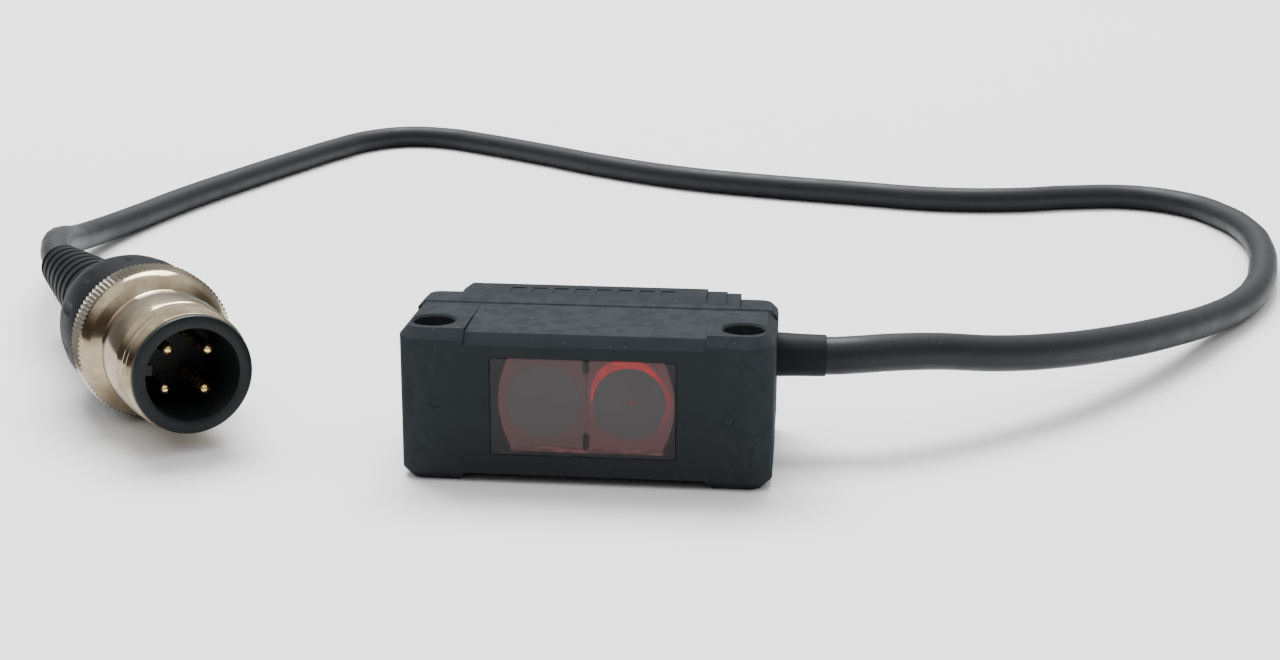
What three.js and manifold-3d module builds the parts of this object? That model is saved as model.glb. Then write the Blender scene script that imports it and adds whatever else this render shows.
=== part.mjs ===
// Compact photoelectric sensor lying on its side, with its cable and a round four-pin plug.
// Millimetres, +Z up. The optical face looks along -Y and the cable leaves the case along +X.
// Origin: middle of the case's footprint, on the surface that its feet stand on.
import * as THREE from "three";
import { mergeVertices } from "three/addons/utils/BufferGeometryUtils.js";
import Module from "manifold-3d";

const wasm = await Module();
wasm.setup();

// ---------------------------------------------------------------- driving dimensions
const CASE = { width: 30.6, depth: 17.8, height: 12.9 };
const HALF_WIDTH = CASE.width / 2;
const FRONT = -CASE.depth / 2;
const REAR = CASE.depth / 2;
const WALL = 1.2;
const CLEARANCE = 0.05;
const OVERCUT = 0.1;

// Where the two case halves meet, and where the full-height part of the rear cover ends.
const PARTING = FRONT + 9.0;
const SHOULDER = FRONT + 13.2;

// Mounting holes: two M3 clearance holes across the case, standing in raised pads and feet.
const MOUNT = { pitch: 25.4, radius: 1.7, setback: 3.2 };
const PAD_INNER = 9.8;
const TOP_RECESS = 0.35;
const FOOT_HEIGHT = 0.85;
const FOOT_RAMP = 0.7;

const EDGE = 0.8;
const SHOULDER_EDGE = 0.5;
const FRONT_CORNER = 2.0;
const REAR_CORNER = 1.5;

// Raised strip along the rear cover's top, with a ramp at its left end.
const STRIP = { left: -11.35, right: 12.1, ramp: 0.75, rise: 0.55, start: 0.5, end: 4.9 };

// Thinner rear section that carries the controls.
const BACK = { low: 1.2, high: 11.6, edge: 0.7 };

// Hollow inside each half.
const FRONT_HOLLOW = { halfWidth: 10.3, low: 1.95, high: 11.3 };
const REAR_HOLLOW = { halfWidth: 14.0, low: 2.2, high: 10.6 };
const WALL_BACK = REAR - WALL;
const SEAL = { thickness: 0.55, depth: 0.95 };

// Window opening in the front face.
const WINDOW = { left: -7.7, right: 7.5, low: 2.5, high: 10.76 };
const WINDOW_FLANGE = 0.6;

// Double lens behind the window.
const LENS = { pitch: 7.1, centre: -0.05, height: 6.5, radius: 3.03, dome: 0.5, root: 0.2 };
const LENS_PLATE = { half: 3.95, reach: 7.25, sideRadius: 8.3, slot: 0.26, slotDepth: 1.3, gap: 0.06 };
const LENS_FRONT = FRONT + 2.2;
const LENS_BACK = LENS_FRONT + 0.7;

// Depth of each layer behind the lens.
const HOLDER = { front: FRONT + 1.7, back: FRONT + 3.0, left: -9.0, right: 8.9, low: 2.15, high: 10.9 };
const BAFFLE = { front: HOLDER.back + CLEARANCE, back: FRONT + 7.15, wide: 3.0, narrow: 1.7 };
const OPTICS_BOARD = { front: FRONT + 7.25, back: FRONT + 7.95, halfWidth: 9.5, low: 2.75, high: 10.4 };
const MAIN_BOARD = { front: 3.0, back: 3.8, left: -13.4, right: 9.6, low: 2.7, high: 10.1 };
const SOLDER_GAP = 0.06;

// Parts on the boards: where each stands and how far it rises from its board.
const EMITTER_LED = { radius: 1.3, length: 1.9 };
const RECEIVER_CHIP = { half: 1.0, thickness: 0.9 };
const CONNECTOR = { halfWidth: 2.4, low: 3.2, high: 4.8 };
const SIGNAL_IC = { left: -9.0, right: -5.0, low: 4.4, high: 8.4, thickness: 0.9 };
const TRANSISTOR = { left: 6.0, right: 8.9, low: 5.4, high: 6.9, thickness: 1.1 };
const FILTER_CAPACITOR = { x: 3.6, height: 6.4, radius: 1.5, length: 2.4 };
const SUPPLY_CAPACITOR = { left: 0.9, right: 4.9, low: 7.2, high: 9.2, thickness: 1.3 };
const LED_SIZE = { half: 0.5, depth: 0.9, rise: 1.3 };

// Controls on the rear face.
const CONTROL = { height: 6.4, hole: 2.1, rotor: 2.0, neck: 1.5, base: 4.4 };
const ROTOR = {
  start: WALL_BACK - 0.75,
  end: REAR - 0.15,
  grooveStart: WALL_BACK + 0.2,
  grooveEnd: WALL_BACK + 0.65,
};
const BLADE = { width: 0.6, depth: 0.45, crossLength: 2.6, slotLength: 3.0 };
const ADJUSTER_X = -8.6;
const SELECTOR_X = -2.4;
const INDICATOR = { x: -12.6, width: 1.4, height: 5.0, flange: 0.4, flangeStart: WALL_BACK - 0.8 };

// Cable and its bushing.
const CABLE = { radius: 1.65, exitY: 3.5, exitZ: 8.2, sides: 8, step: 8 };
const BUSHING = {
  start: 12.4,
  flange: 2.35,
  neck: 1.35,
  hole: 1.95,
  body: 1.9,
  bodyEnd: HALF_WIDTH + 0.4,
  shoulder: 1.74,
  shoulderEnd: HALF_WIDTH + 1.2,
  tip: 1.7,
  end: 19.5,
};
const CLAMP = { start: 13.05, end: 13.5, slack: 0.1, half: 2.4, drop: 2.8, rise: 2.3 };
const CORE = { radius: 0.3, straight: 0.5, drift: 0.1, bow: 0.25 };

// Plug: its face centre, the turn of its axis in plan, and distances counted back from its face.
const PLUG = { x: -33.75, y: -4.35, z: 7.0, turn: 35.5, roll: 8, length: 45 };
const NUT = { radius: 6.95, sleeve: 5.55, threadRadius: 5.42, rootRadius: 5.15, bore: 4.7, rearBore: 5.9 };
const NUT_SPAN = {
  front: 0.9,
  threadEnd: 3.3,
  groove: 8.3,
  flange: 10.1,
  knurl: 11.0,
  seat: 11.6,
  rear: 13.8,
};
const THREAD = { pitch: 1.0, start: 0.25, crest: 0.3, crestEnd: 0.45, end: 0.8 };
const NUT_SHAPE = { relief: 0.3, grooveWall: 0.25, flangeFoot: 0.5, flangeStep: 0.75, edge: 0.3 };
const CARRIER = { radius: 4.6, lip: 5.2, lipEnd: 0.6, cavity: 4.0, cavityDepth: 8.6, length: 14.6 };
const CARRIER_EDGE = { outer: 0.2, inner: 0.35, innerDepth: 0.4 };
const GRIP = { radius: 6.65, neckStart: 27, neck: 3.9, tail: 2.35, pocketEnd: 15.9 };

// Grip outline from its front edge to its neck: how much narrower than the grip, and how far back.
const GRIP_OUTLINE = [
  [0.2, 0],
  [0, 0.8],
  [0.05, 4.2],
  [0.6, 7.2],
  [1.6, 10.2],
];
const KEY = { reach: 1.0, halfWidth: 0.45, start: 1.6, sideRoot: 0.3, endRoot: 0.5 };
const PIN = { radius: 0.5, circle: 2.5, start: 1.8, end: 15.4, tip: 0.25, tipDepth: 0.1, taper: 0.6 };
const PLUG_GAP = 0.3;

// Cable route after the bushing, from the case to the tail of the plug.
const ROUTE = [
  [19.8, 3.5, 8.2],
  [22.2, 3.8, 8.3],
  [25.2, 5.2, 8.2],
  [29.4, 7.7, 7.7],
  [34.6, 11.1, 6.7],
  [40.6, 16.1, 5.7],
  [47.2, 23.4, 4.6],
  [54.4, 33.0, 3.4],
  [60.4, 42.6, 2.3],
  [65.4, 51.4, 1.8],
  [69.0, 60.0, 1.7],
  [71.5, 69.0, 1.7],
  [73.4, 78.5, 1.7],
  [74.2, 88.5, 1.7],
  [73.0, 98.2, 1.7],
  [69.3, 106.6, 1.7],
  [62.8, 110.6, 1.7],
  [54.4, 109.6, 1.7],
  [45.6, 106.6, 1.7],
  [36.0, 105.9, 1.7],
  [24.6, 108.8, 1.7],
  [12.0, 112.4, 1.7],
  [0.2, 116.9, 1.7],
  [-11.8, 124.4, 1.7],
  [-24.2, 134.6, 1.7],
  [-34.6, 142.6, 1.7],
  [-41.6, 147.0, 1.7],
  [-48.2, 147.6, 1.7],
  [-53.4, 143.4, 1.7],
  [-57.0, 134.8, 1.7],
  [-60.2, 123.8, 1.7],
  [-64.0, 109.4, 1.7],
  [-67.6, 94.0, 1.7],
  [-69.8, 80.0, 1.8],
  [-70.6, 68.6, 2.4],
  [-69.4, 58.6, 3.8],
  [-67.4, 50.6, 5.5],
  [-65.4, 44.2, 6.6],
  [-63.4, 39.0, 6.95],
  [-61.55, 35.0, 7.0],
  [-60.06, 32.53, 7.0],
];

// ---------------------------------------------------------------- materials
const finish = (color, roughness, metalness = 0) =>
  new THREE.MeshStandardMaterial({ color, roughness, metalness });

const CASE_BLACK = finish(0x2a2d30, 0.62);
const SOFT_BLACK = finish(0x1f2224, 0.75);
const CABLE_BLACK = finish(0x26292c, 0.55);
const HOLDER_GREY = finish(0x55575a, 0.5);
const BOARD_GREEN = finish(0x1f5a38, 0.5);
const CHIP_BLACK = finish(0x151515, 0.45);
const NICKEL = finish(0xc9c4b4, 0.25, 1);
const GOLD = finish(0xd9a441, 0.3, 1);
const STEEL = finish(0x9c9ea0, 0.35, 1);
const TAN = finish(0xb98a4a, 0.5);
const SEAL_RUBBER = finish(0x3a3a3a, 0.85);
const CONTROL_WHITE = finish(0xd8d6cc, 0.5);
const RED_GLOW = finish(0xc23a34, 0.35);
const GREEN_LED = finish(0x58b368, 0.35);
const ORANGE_LED = finish(0xe08a2e, 0.35);
const INDICATOR_CLEAR = finish(0xd8dcd8, 0.2);
const smoky = finish(0x57514f, 0.2);
smoky.transparent = true;
smoky.opacity = 0.6;
const clear = finish(0xb9b2b0, 0.1);
clear.transparent = true;
clear.opacity = 0.5;

// ---------------------------------------------------------------- shape helpers
// Turns a closed geometry into a solid that can be joined and cut.
function solid(geometry) {
  const bare = geometry.clone();
  bare.deleteAttribute("normal");
  bare.deleteAttribute("uv");
  const merged = mergeVertices(bare, 1e-4);
  const corners = merged.index.array;
  const kept = [];
  for (let at = 0; at < corners.length; at += 3) {
    const [a, b, c] = corners.slice(at, at + 3);
    if (a !== b && b !== c && c !== a) {
      kept.push(a, b, c);
    }
  }
  return new wasm.Manifold(new wasm.Mesh({
    numProp: 3,
    vertProperties: Float32Array.from(merged.attributes.position.array),
    triVerts: Uint32Array.from(kept),
  }));
}

// Turns a solid back into a geometry.
function geometryOf(body) {
  const mesh = body.getMesh();
  const geometry = new THREE.BufferGeometry();
  geometry.setAttribute("position", new THREE.BufferAttribute(mesh.vertProperties, 3));
  geometry.setIndex(new THREE.BufferAttribute(mesh.triVerts, 1));
  geometry.computeVertexNormals();
  return geometry;
}

function join(...geometries) {
  return geometries.map(solid).reduce((whole, piece) => whole.add(piece));
}

function cut(body, ...geometries) {
  return geometries.map(solid).reduce((whole, piece) => whole.subtract(piece), body);
}

function block([x0, x1], [y0, y1], [z0, z1]) {
  const geometry = new THREE.BoxGeometry(x1 - x0, y1 - y0, z1 - z0);
  return geometry.translate((x0 + x1) / 2, (y0 + y1) / 2, (z0 + z1) / 2);
}

// Round bars: one along Y, which narrows or widens to `end`, and one along Z.
function barY(radius, x, [y0, y1], z, { end = radius, sides = 24 } = {}) {
  const geometry = new THREE.CylinderGeometry(end, radius, y1 - y0, sides);
  return geometry.translate(x, (y0 + y1) / 2, z);
}

function barZ(radius, x, y, [z0, z1], sides = 24) {
  const geometry = new THREE.CylinderGeometry(radius, radius, z1 - z0, sides).rotateX(Math.PI / 2);
  return geometry.translate(x, y, (z0 + z1) / 2);
}

// Prism of an outline drawn in X and Z, filling y0 to y1.
function prismY(outline, [y0, y1]) {
  const depth = y1 - y0;
  const geometry = new THREE.ExtrudeGeometry(outline, { depth, bevelEnabled: false, curveSegments: 12 });
  return geometry.rotateX(Math.PI / 2).translate(0, y1, 0);
}

// Prism of an outline drawn in Y and Z, filling x0 to x1.
function prismX(outline, [x0, x1]) {
  const geometry = new THREE.ExtrudeGeometry(outline, { depth: x1 - x0, bevelEnabled: false });
  return geometry.rotateY(Math.PI / 2).rotateX(Math.PI / 2).translate(x0, 0, 0);
}

function polygon(points) {
  return new THREE.Shape(points.map(([x, y]) => new THREE.Vector2(x, y)));
}

// Turned piece: pairs of [radius, distance], revolved about Y.
function turned(profile, sides = 32) {
  const points = profile.map(([radius, distance]) => new THREE.Vector2(radius, distance));
  return new THREE.LatheGeometry(points, sides);
}

// Closed ring or sleeve: the profile is closed on itself.
function turnedRing(profile, sides = 32) {
  return turned([...profile, profile[0]], sides);
}

// Plate with its own plan outline and a chamfer round its top and bottom edges.
function plate(outline, [z0, z1], edge) {
  const geometry = new THREE.ExtrudeGeometry(outline, {
    depth: z1 - z0 - 2 * edge,
    bevelThickness: edge,
    bevelSize: edge,
    bevelOffset: -edge,
    bevelSegments: 1,
    curveSegments: 5,
  });
  return geometry.translate(0, 0, z0 + edge);
}

// Rectangle in plan with one radius for its front corners and one for its rear corners.
function planOutline(halfWidth, y0, y1, frontRadius, rearRadius) {
  const shape = new THREE.Shape();
  shape.moveTo(-halfWidth + frontRadius, y0);
  shape.lineTo(halfWidth - frontRadius, y0);
  shape.absarc(halfWidth - frontRadius, y0 + frontRadius, frontRadius, -Math.PI / 2, 0, false);
  shape.lineTo(halfWidth, y1 - rearRadius);
  shape.absarc(halfWidth - rearRadius, y1 - rearRadius, rearRadius, 0, Math.PI / 2, false);
  shape.lineTo(-halfWidth + rearRadius, y1);
  shape.absarc(-halfWidth + rearRadius, y1 - rearRadius, rearRadius, Math.PI / 2, Math.PI, false);
  shape.lineTo(-halfWidth, y0 + frontRadius);
  shape.absarc(-halfWidth + frontRadius, y0 + frontRadius, frontRadius, Math.PI, 1.5 * Math.PI, false);
  return shape;
}

// ---------------------------------------------------------------- scene
const sensor = new THREE.Group();
const plug = new THREE.Group();
plug.position.set(PLUG.x, PLUG.y, PLUG.z);
plug.rotation.set(0, THREE.MathUtils.degToRad(PLUG.roll), THREE.MathUtils.degToRad(PLUG.turn), "ZYX");
sensor.add(plug);

function place(name, shape, material, parent = sensor) {
  const geometry = shape instanceof THREE.BufferGeometry ? shape : geometryOf(shape);
  const mesh = new THREE.Mesh(geometry, material);
  mesh.name = name;
  parent.add(mesh);
}

// ---------------------------------------------------------------- case
// Space under the case between its feet, with a ramp at each side.
function footGap(span) {
  const outer = PAD_INNER + FOOT_RAMP;
  const outline = polygon([
    [-outer - FOOT_RAMP, -FOOT_HEIGHT],
    [outer + FOOT_RAMP, -FOOT_HEIGHT],
    [PAD_INNER, FOOT_HEIGHT],
    [-PAD_INNER, FOOT_HEIGHT],
  ]);
  return prismY(outline, span);
}

// Space above the top between the pads: its floor falls from the parting line to the front chamfer.
function topSink() {
  const outline = polygon([
    [PARTING, CASE.height],
    [PARTING, CASE.height + 1],
    [FRONT - 1, CASE.height + 1],
    [FRONT - 1, CASE.height - TOP_RECESS - EDGE - 1],
    [FRONT + EDGE, CASE.height - TOP_RECESS],
  ]);
  return prismX(outline, [-PAD_INNER, PAD_INNER]);
}

function frontHousing() {
  const beyond = PARTING + 3;
  const outline = planOutline(HALF_WIDTH, FRONT, beyond, FRONT_CORNER, REAR_CORNER);
  const body = solid(plate(outline, [0, CASE.height], EDGE));
  const behind = block([-HALF_WIDTH - 1, HALF_WIDTH + 1], [PARTING, beyond + 1], [-1, CASE.height + 1]);
  const hollow = block(
    [-FRONT_HOLLOW.halfWidth, FRONT_HOLLOW.halfWidth],
    [FRONT + WALL, PARTING + 1],
    [FRONT_HOLLOW.low, FRONT_HOLLOW.high],
  );
  const through = [FRONT - 1, FRONT + WALL + 1];
  const opening = block([WINDOW.left, WINDOW.right], through, [WINDOW.low, WINDOW.high]);
  const holes = [-1, 1].map((side) =>
    barZ(MOUNT.radius, side * MOUNT.pitch / 2, FRONT + MOUNT.setback, [-1, CASE.height + 1], 28));
  return cut(body, behind, topSink(), footGap([FRONT - 1, PARTING + 1]), hollow, opening, ...holes);
}

function raisedStrip() {
  const top = CASE.height + STRIP.rise;
  const root = CASE.height - EDGE;
  const outline = polygon([
    [STRIP.left - STRIP.ramp, root],
    [STRIP.right, root],
    [STRIP.right, top],
    [STRIP.left, top],
    [STRIP.left - STRIP.ramp, CASE.height],
  ]);
  return prismY(outline, [STRIP.start, STRIP.end]);
}

function rearCover() {
  const ahead = PARTING - 3;
  const start = PARTING + CLEARANCE;
  const outlineTo = (end) => planOutline(HALF_WIDTH, ahead, end, REAR_CORNER, REAR_CORNER);
  const shoulder = plate(outlineTo(SHOULDER), [0, CASE.height], SHOULDER_EDGE);
  const back = plate(outlineTo(REAR), [BACK.low, BACK.high], BACK.edge);
  const inFront = block([-HALF_WIDTH - 1, HALF_WIDTH + 1], [ahead - 1, start], [-1, CASE.height + 2]);
  const hollow = block(
    [-REAR_HOLLOW.halfWidth, REAR_HOLLOW.halfWidth],
    [ahead, WALL_BACK],
    [REAR_HOLLOW.low, REAR_HOLLOW.high],
  );
  const controlHoles = [ADJUSTER_X, SELECTOR_X].map((x) =>
    barY(CONTROL.hole, x, [WALL_BACK - 1, REAR + 1], CONTROL.height));
  const indicatorHole = block(
    [INDICATOR.x - INDICATOR.width / 2 - CLEARANCE, INDICATOR.x + INDICATOR.width / 2 + CLEARANCE],
    [WALL_BACK - 1, REAR + 1],
    [CONTROL.height - INDICATOR.height / 2 - CLEARANCE, CONTROL.height + INDICATOR.height / 2 + CLEARANCE],
  );
  const cableHole = new THREE.CylinderGeometry(BUSHING.hole, BUSHING.hole, 4, 24)
    .rotateZ(Math.PI / 2)
    .translate(HALF_WIDTH, CABLE.exitY, CABLE.exitZ);
  const shell = join(shoulder, back, raisedStrip());
  return cut(shell, inFront, footGap([ahead, REAR + 1]), hollow, ...controlHoles, indicatorHole, cableHole);
}

// Thin rubber frame inside the joint between the two halves.
function caseSeal() {
  const outer = FRONT_HOLLOW.halfWidth - CLEARANCE;
  const low = FRONT_HOLLOW.low + CLEARANCE;
  const high = FRONT_HOLLOW.high - CLEARANCE;
  const { thickness, depth } = SEAL;
  const span = [PARTING - depth, PARTING];
  const ring = solid(block([-outer, outer], span, [low, high]));
  const middle = block(
    [-outer + thickness, outer - thickness],
    [span[0] - 1, span[1] + 1],
    [low + thickness, high - thickness],
  );
  return cut(ring, middle);
}

function frontWindow() {
  const pane = block(
    [WINDOW.left + CLEARANCE, WINDOW.right - CLEARANCE],
    [FRONT + CLEARANCE, FRONT + WALL + CLEARANCE],
    [WINDOW.low + CLEARANCE, WINDOW.high - CLEARANCE],
  );
  const flangeHigh = Math.min(WINDOW.high + WINDOW_FLANGE, FRONT_HOLLOW.high - CLEARANCE);
  const flangeLow = Math.max(WINDOW.low - WINDOW_FLANGE, FRONT_HOLLOW.low + CLEARANCE);
  const flange = block(
    [WINDOW.left - WINDOW_FLANGE, WINDOW.right + WINDOW_FLANGE],
    [FRONT + WALL + CLEARANCE, HOLDER.front - 2 * CLEARANCE],
    [flangeLow, flangeHigh],
  );
  return join(pane, flange);
}

place("front_housing", frontHousing(), CASE_BLACK);
place("rear_cover", rearCover(), CASE_BLACK);
place("case_seal", caseSeal(), SEAL_RUBBER);
place("front_window", frontWindow(), smoky);

// ---------------------------------------------------------------- optics
// Outline of one lens half: straight top, bottom and inner side, bowed outer side, notched at the slot.
function lensOutline(side, grow) {
  const { half, reach, sideRadius, slot, slotDepth, gap } = LENS_PLATE;
  const top = half + grow;
  const inner = gap - grow;
  const radius = sideRadius + grow;
  const bowCentre = reach - sideRadius;
  const bowAngle = Math.asin(top / radius);
  const steps = 10;
  const points = [[inner, -half + slotDepth], [slot - grow, -half + slotDepth], [slot - grow, -top]];
  for (let step = 0; step <= steps; step += 1) {
    const angle = -bowAngle + (2 * bowAngle * step) / steps;
    points.push([bowCentre + radius * Math.cos(angle), radius * Math.sin(angle)]);
  }
  points.push([slot - grow, top], [slot - grow, half - slotDepth], [inner, half - slotDepth]);
  const placed = points.map(([x, z]) => [LENS.centre + side * x, LENS.height + z]);
  return polygon(side > 0 ? placed : placed.reverse());
}

function lensHalf(side) {
  const plateHalf = prismY(lensOutline(side, 0), [LENS_FRONT, LENS_BACK]);
  const steps = 4;
  const profile = [[0, LENS.root]];
  for (let step = 0; step <= steps; step += 1) {
    const share = 1 - step / steps;
    profile.push([LENS.radius * share, -LENS.dome * (1 - share * share)]);
  }
  const dome = turned(profile.reverse(), 28);
  dome.translate(LENS.centre + (side * LENS.pitch) / 2, LENS_FRONT, LENS.height);
  return join(plateHalf, dome);
}

// Block that fills the space behind the window, over the given depth.
function behindWindow(span) {
  return solid(block([HOLDER.left, HOLDER.right], span, [HOLDER.low, HOLDER.high]));
}

function lensHolder() {
  const frame = behindWindow([HOLDER.front, HOLDER.back]);
  const through = [HOLDER.front - 1, HOLDER.back + 1];
  const { half, slotDepth, slot } = LENS_PLATE;
  const middle = block(
    [LENS.centre - slot - CLEARANCE, LENS.centre + slot + CLEARANCE],
    through,
    [LENS.height - half + slotDepth, LENS.height + half - slotDepth],
  );
  const lensSpaces = [-1, 1].map((side) => prismY(lensOutline(side, CLEARANCE), through));
  return cut(frame, ...lensSpaces, middle);
}

function lightBaffle() {
  const body = behindWindow([BAFFLE.front, BAFFLE.back]);
  const tunnels = [-1, 1].map((side) => barY(
    BAFFLE.wide + OVERCUT,
    LENS.centre + (side * LENS.pitch) / 2,
    [BAFFLE.front - OVERCUT, BAFFLE.back + OVERCUT],
    LENS.height,
    { end: BAFFLE.narrow },
  ));
  return cut(body, ...tunnels);
}

function ledBody(x, z, radius, [y0, y1]) {
  const rim = y0 + radius;
  const profile = [[0, y1], [radius, y1], [radius, rim]];
  const steps = 4;
  for (let step = 1; step <= steps; step += 1) {
    const angle = (Math.PI / 2) * (step / steps);
    profile.push([radius * Math.cos(angle), rim - radius * Math.sin(angle)]);
  }
  profile[profile.length - 1][0] = 0;
  return turned(profile.reverse(), 20).translate(x, 0, z);
}

const EMITTER_X = LENS.centre + LENS.pitch / 2;
const RECEIVER_X = LENS.centre - LENS.pitch / 2;

place("lens_holder", lensHolder(), HOLDER_GREY);
place("receiver_lens", lensHalf(-1), clear);
place("emitter_lens", lensHalf(1), clear);
place("light_baffle", lightBaffle(), SOFT_BLACK);
place(
  "emitter_led",
  ledBody(
    EMITTER_X,
    LENS.height,
    EMITTER_LED.radius,
    [OPTICS_BOARD.front - EMITTER_LED.length, OPTICS_BOARD.front - SOLDER_GAP],
  ),
  RED_GLOW,
);
place(
  "receiver_chip",
  block(
    [RECEIVER_X - RECEIVER_CHIP.half, RECEIVER_X + RECEIVER_CHIP.half],
    [OPTICS_BOARD.front - RECEIVER_CHIP.thickness, OPTICS_BOARD.front - SOLDER_GAP],
    [LENS.height - RECEIVER_CHIP.half, LENS.height + RECEIVER_CHIP.half],
  ),
  CHIP_BLACK,
);
place(
  "optics_board",
  block(
    [-OPTICS_BOARD.halfWidth, OPTICS_BOARD.halfWidth],
    [OPTICS_BOARD.front, OPTICS_BOARD.back],
    [OPTICS_BOARD.low, OPTICS_BOARD.high],
  ),
  BOARD_GREEN,
);

// ---------------------------------------------------------------- electronics
const FRONT_OF_MAIN = MAIN_BOARD.front - SOLDER_GAP;
const BACK_OF_MAIN = MAIN_BOARD.back + SOLDER_GAP;

// Block-shaped part on the front of the main board.
function onMainBoard({ left, right, low, high, thickness }) {
  return block([left, right], [FRONT_OF_MAIN - thickness, FRONT_OF_MAIN], [low, high]);
}

place(
  "board_connector",
  block(
    [-CONNECTOR.halfWidth, CONNECTOR.halfWidth],
    [OPTICS_BOARD.back + SOLDER_GAP, FRONT_OF_MAIN],
    [CONNECTOR.low, CONNECTOR.high],
  ),
  CHIP_BLACK,
);
place(
  "main_board",
  block(
    [MAIN_BOARD.left, MAIN_BOARD.right],
    [MAIN_BOARD.front, MAIN_BOARD.back],
    [MAIN_BOARD.low, MAIN_BOARD.high],
  ),
  BOARD_GREEN,
);
place("signal_ic", onMainBoard(SIGNAL_IC), CHIP_BLACK);
place("output_transistor", onMainBoard(TRANSISTOR), CHIP_BLACK);
place(
  "filter_capacitor",
  barY(
    FILTER_CAPACITOR.radius,
    FILTER_CAPACITOR.x,
    [BACK_OF_MAIN, BACK_OF_MAIN + FILTER_CAPACITOR.length],
    FILTER_CAPACITOR.height,
  ),
  STEEL,
);
place("supply_capacitor", onMainBoard(SUPPLY_CAPACITOR), TAN);

for (const [name, side, material] of [["output_led", 1, ORANGE_LED], ["stability_led", -1, GREEN_LED]]) {
  const z = CONTROL.height + side * LED_SIZE.rise;
  place(
    name,
    block(
      [INDICATOR.x - LED_SIZE.half, INDICATOR.x + LED_SIZE.half],
      [BACK_OF_MAIN, BACK_OF_MAIN + LED_SIZE.depth],
      [z - LED_SIZE.half, z + LED_SIZE.half],
    ),
    material,
  );
}

// Light window for the two indicator lamps, held by a flange inside the cover.
function indicatorLens() {
  const halfWidth = INDICATOR.width / 2;
  const halfHeight = INDICATOR.height / 2;
  const { flange, flangeStart } = INDICATOR;
  const face = block(
    [INDICATOR.x - halfWidth, INDICATOR.x + halfWidth],
    [WALL_BACK - flange, REAR],
    [CONTROL.height - halfHeight, CONTROL.height + halfHeight],
  );
  const stop = block(
    [INDICATOR.x - halfWidth - flange, INDICATOR.x + halfWidth + flange],
    [flangeStart, WALL_BACK - CLEARANCE],
    [CONTROL.height - halfHeight - flange, CONTROL.height + halfHeight + flange],
  );
  return join(face, stop);
}
place("indicator_lens", indicatorLens(), INDICATOR_CLEAR);

// ---------------------------------------------------------------- controls
function rotor(x, slots) {
  const { rotor: radius, neck, height } = CONTROL;
  const body = turned([
    [0, ROTOR.start],
    [radius, ROTOR.start],
    [radius, ROTOR.grooveStart],
    [neck, ROTOR.grooveStart],
    [neck, ROTOR.grooveEnd],
    [radius, ROTOR.grooveEnd],
    [radius, ROTOR.end],
    [0, ROTOR.end],
  ], 28).translate(x, 0, height);
  return cut(solid(body), ...slots);
}

// Screwdriver slot across a rotor's face.
function slot(x, [acrossX, acrossZ]) {
  return block(
    [x - acrossX / 2, x + acrossX / 2],
    [ROTOR.end - BLADE.depth, ROTOR.end + 1],
    [CONTROL.height - acrossZ / 2, CONTROL.height + acrossZ / 2],
  );
}

function controlRing(x) {
  const inner = CONTROL.neck + CLEARANCE;
  const outer = CONTROL.hole - CLEARANCE;
  const front = ROTOR.grooveStart + CLEARANCE;
  const back = ROTOR.grooveEnd - CLEARANCE;
  return turnedRing([[inner, front], [outer, front], [outer, back], [inner, back]], 24)
    .translate(x, 0, CONTROL.height);
}

function controlBase(x) {
  const half = CONTROL.base / 2;
  return block(
    [x - half, x + half],
    [BACK_OF_MAIN, ROTOR.start - CLEARANCE],
    [CONTROL.height - half, CONTROL.height + half],
  );
}

const ACROSS = [BLADE.crossLength, BLADE.width];
const UP = [BLADE.width, BLADE.crossLength];
place("adjuster_base", controlBase(ADJUSTER_X), TAN);
place(
  "sensitivity_adjuster",
  rotor(ADJUSTER_X, [slot(ADJUSTER_X, ACROSS), slot(ADJUSTER_X, UP)]),
  CONTROL_WHITE,
);
place("adjuster_o_ring", controlRing(ADJUSTER_X), SEAL_RUBBER);
place("selector_base", controlBase(SELECTOR_X), TAN);
place(
  "mode_selector",
  rotor(SELECTOR_X, [slot(SELECTOR_X, [BLADE.width, BLADE.slotLength])]),
  CONTROL_WHITE,
);
place("selector_o_ring", controlRing(SELECTOR_X), SEAL_RUBBER);

// ---------------------------------------------------------------- cable entry
// Points a piece turned about Y along +X instead and moves it to the cable's exit line.
function alongCable(geometry) {
  return geometry.rotateZ(-Math.PI / 2).translate(0, CABLE.exitY, CABLE.exitZ);
}

function cableBushing() {
  const { start, flange, neck, body, bodyEnd, shoulder, shoulderEnd, tip, end } = BUSHING;
  return alongCable(turned([
    [0, start],
    [flange, start],
    [flange, CLAMP.start - CLEARANCE],
    [neck, CLAMP.start - CLEARANCE],
    [neck, CLAMP.end + CLEARANCE],
    [body, CLAMP.end + CLEARANCE],
    [body, bodyEnd],
    [shoulder, shoulderEnd],
    [tip, end],
    [0, end],
  ], 24));
}

function cableClamp() {
  const gap = BUSHING.neck + CLAMP.slack;
  const low = CABLE.exitZ - CLAMP.drop;
  const sheet = solid(block(
    [CLAMP.start, CLAMP.end],
    [CABLE.exitY - CLAMP.half, CABLE.exitY + CLAMP.half],
    [low, CABLE.exitZ + CLAMP.rise],
  ));
  const mouth = block(
    [CLAMP.start - 1, CLAMP.end + 1],
    [CABLE.exitY - gap, CABLE.exitY + gap],
    [low - 1, CABLE.exitZ],
  );
  const round = alongCable(new THREE.CylinderGeometry(gap, gap, 4, 24).translate(0, CLAMP.start, 0));
  return cut(sheet, mouth, round);
}

function smoothPath(points) {
  const corners = points.map((point) => new THREE.Vector3(...point));
  return new THREE.CatmullRomCurve3(corners, false, "centripetal");
}

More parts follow.
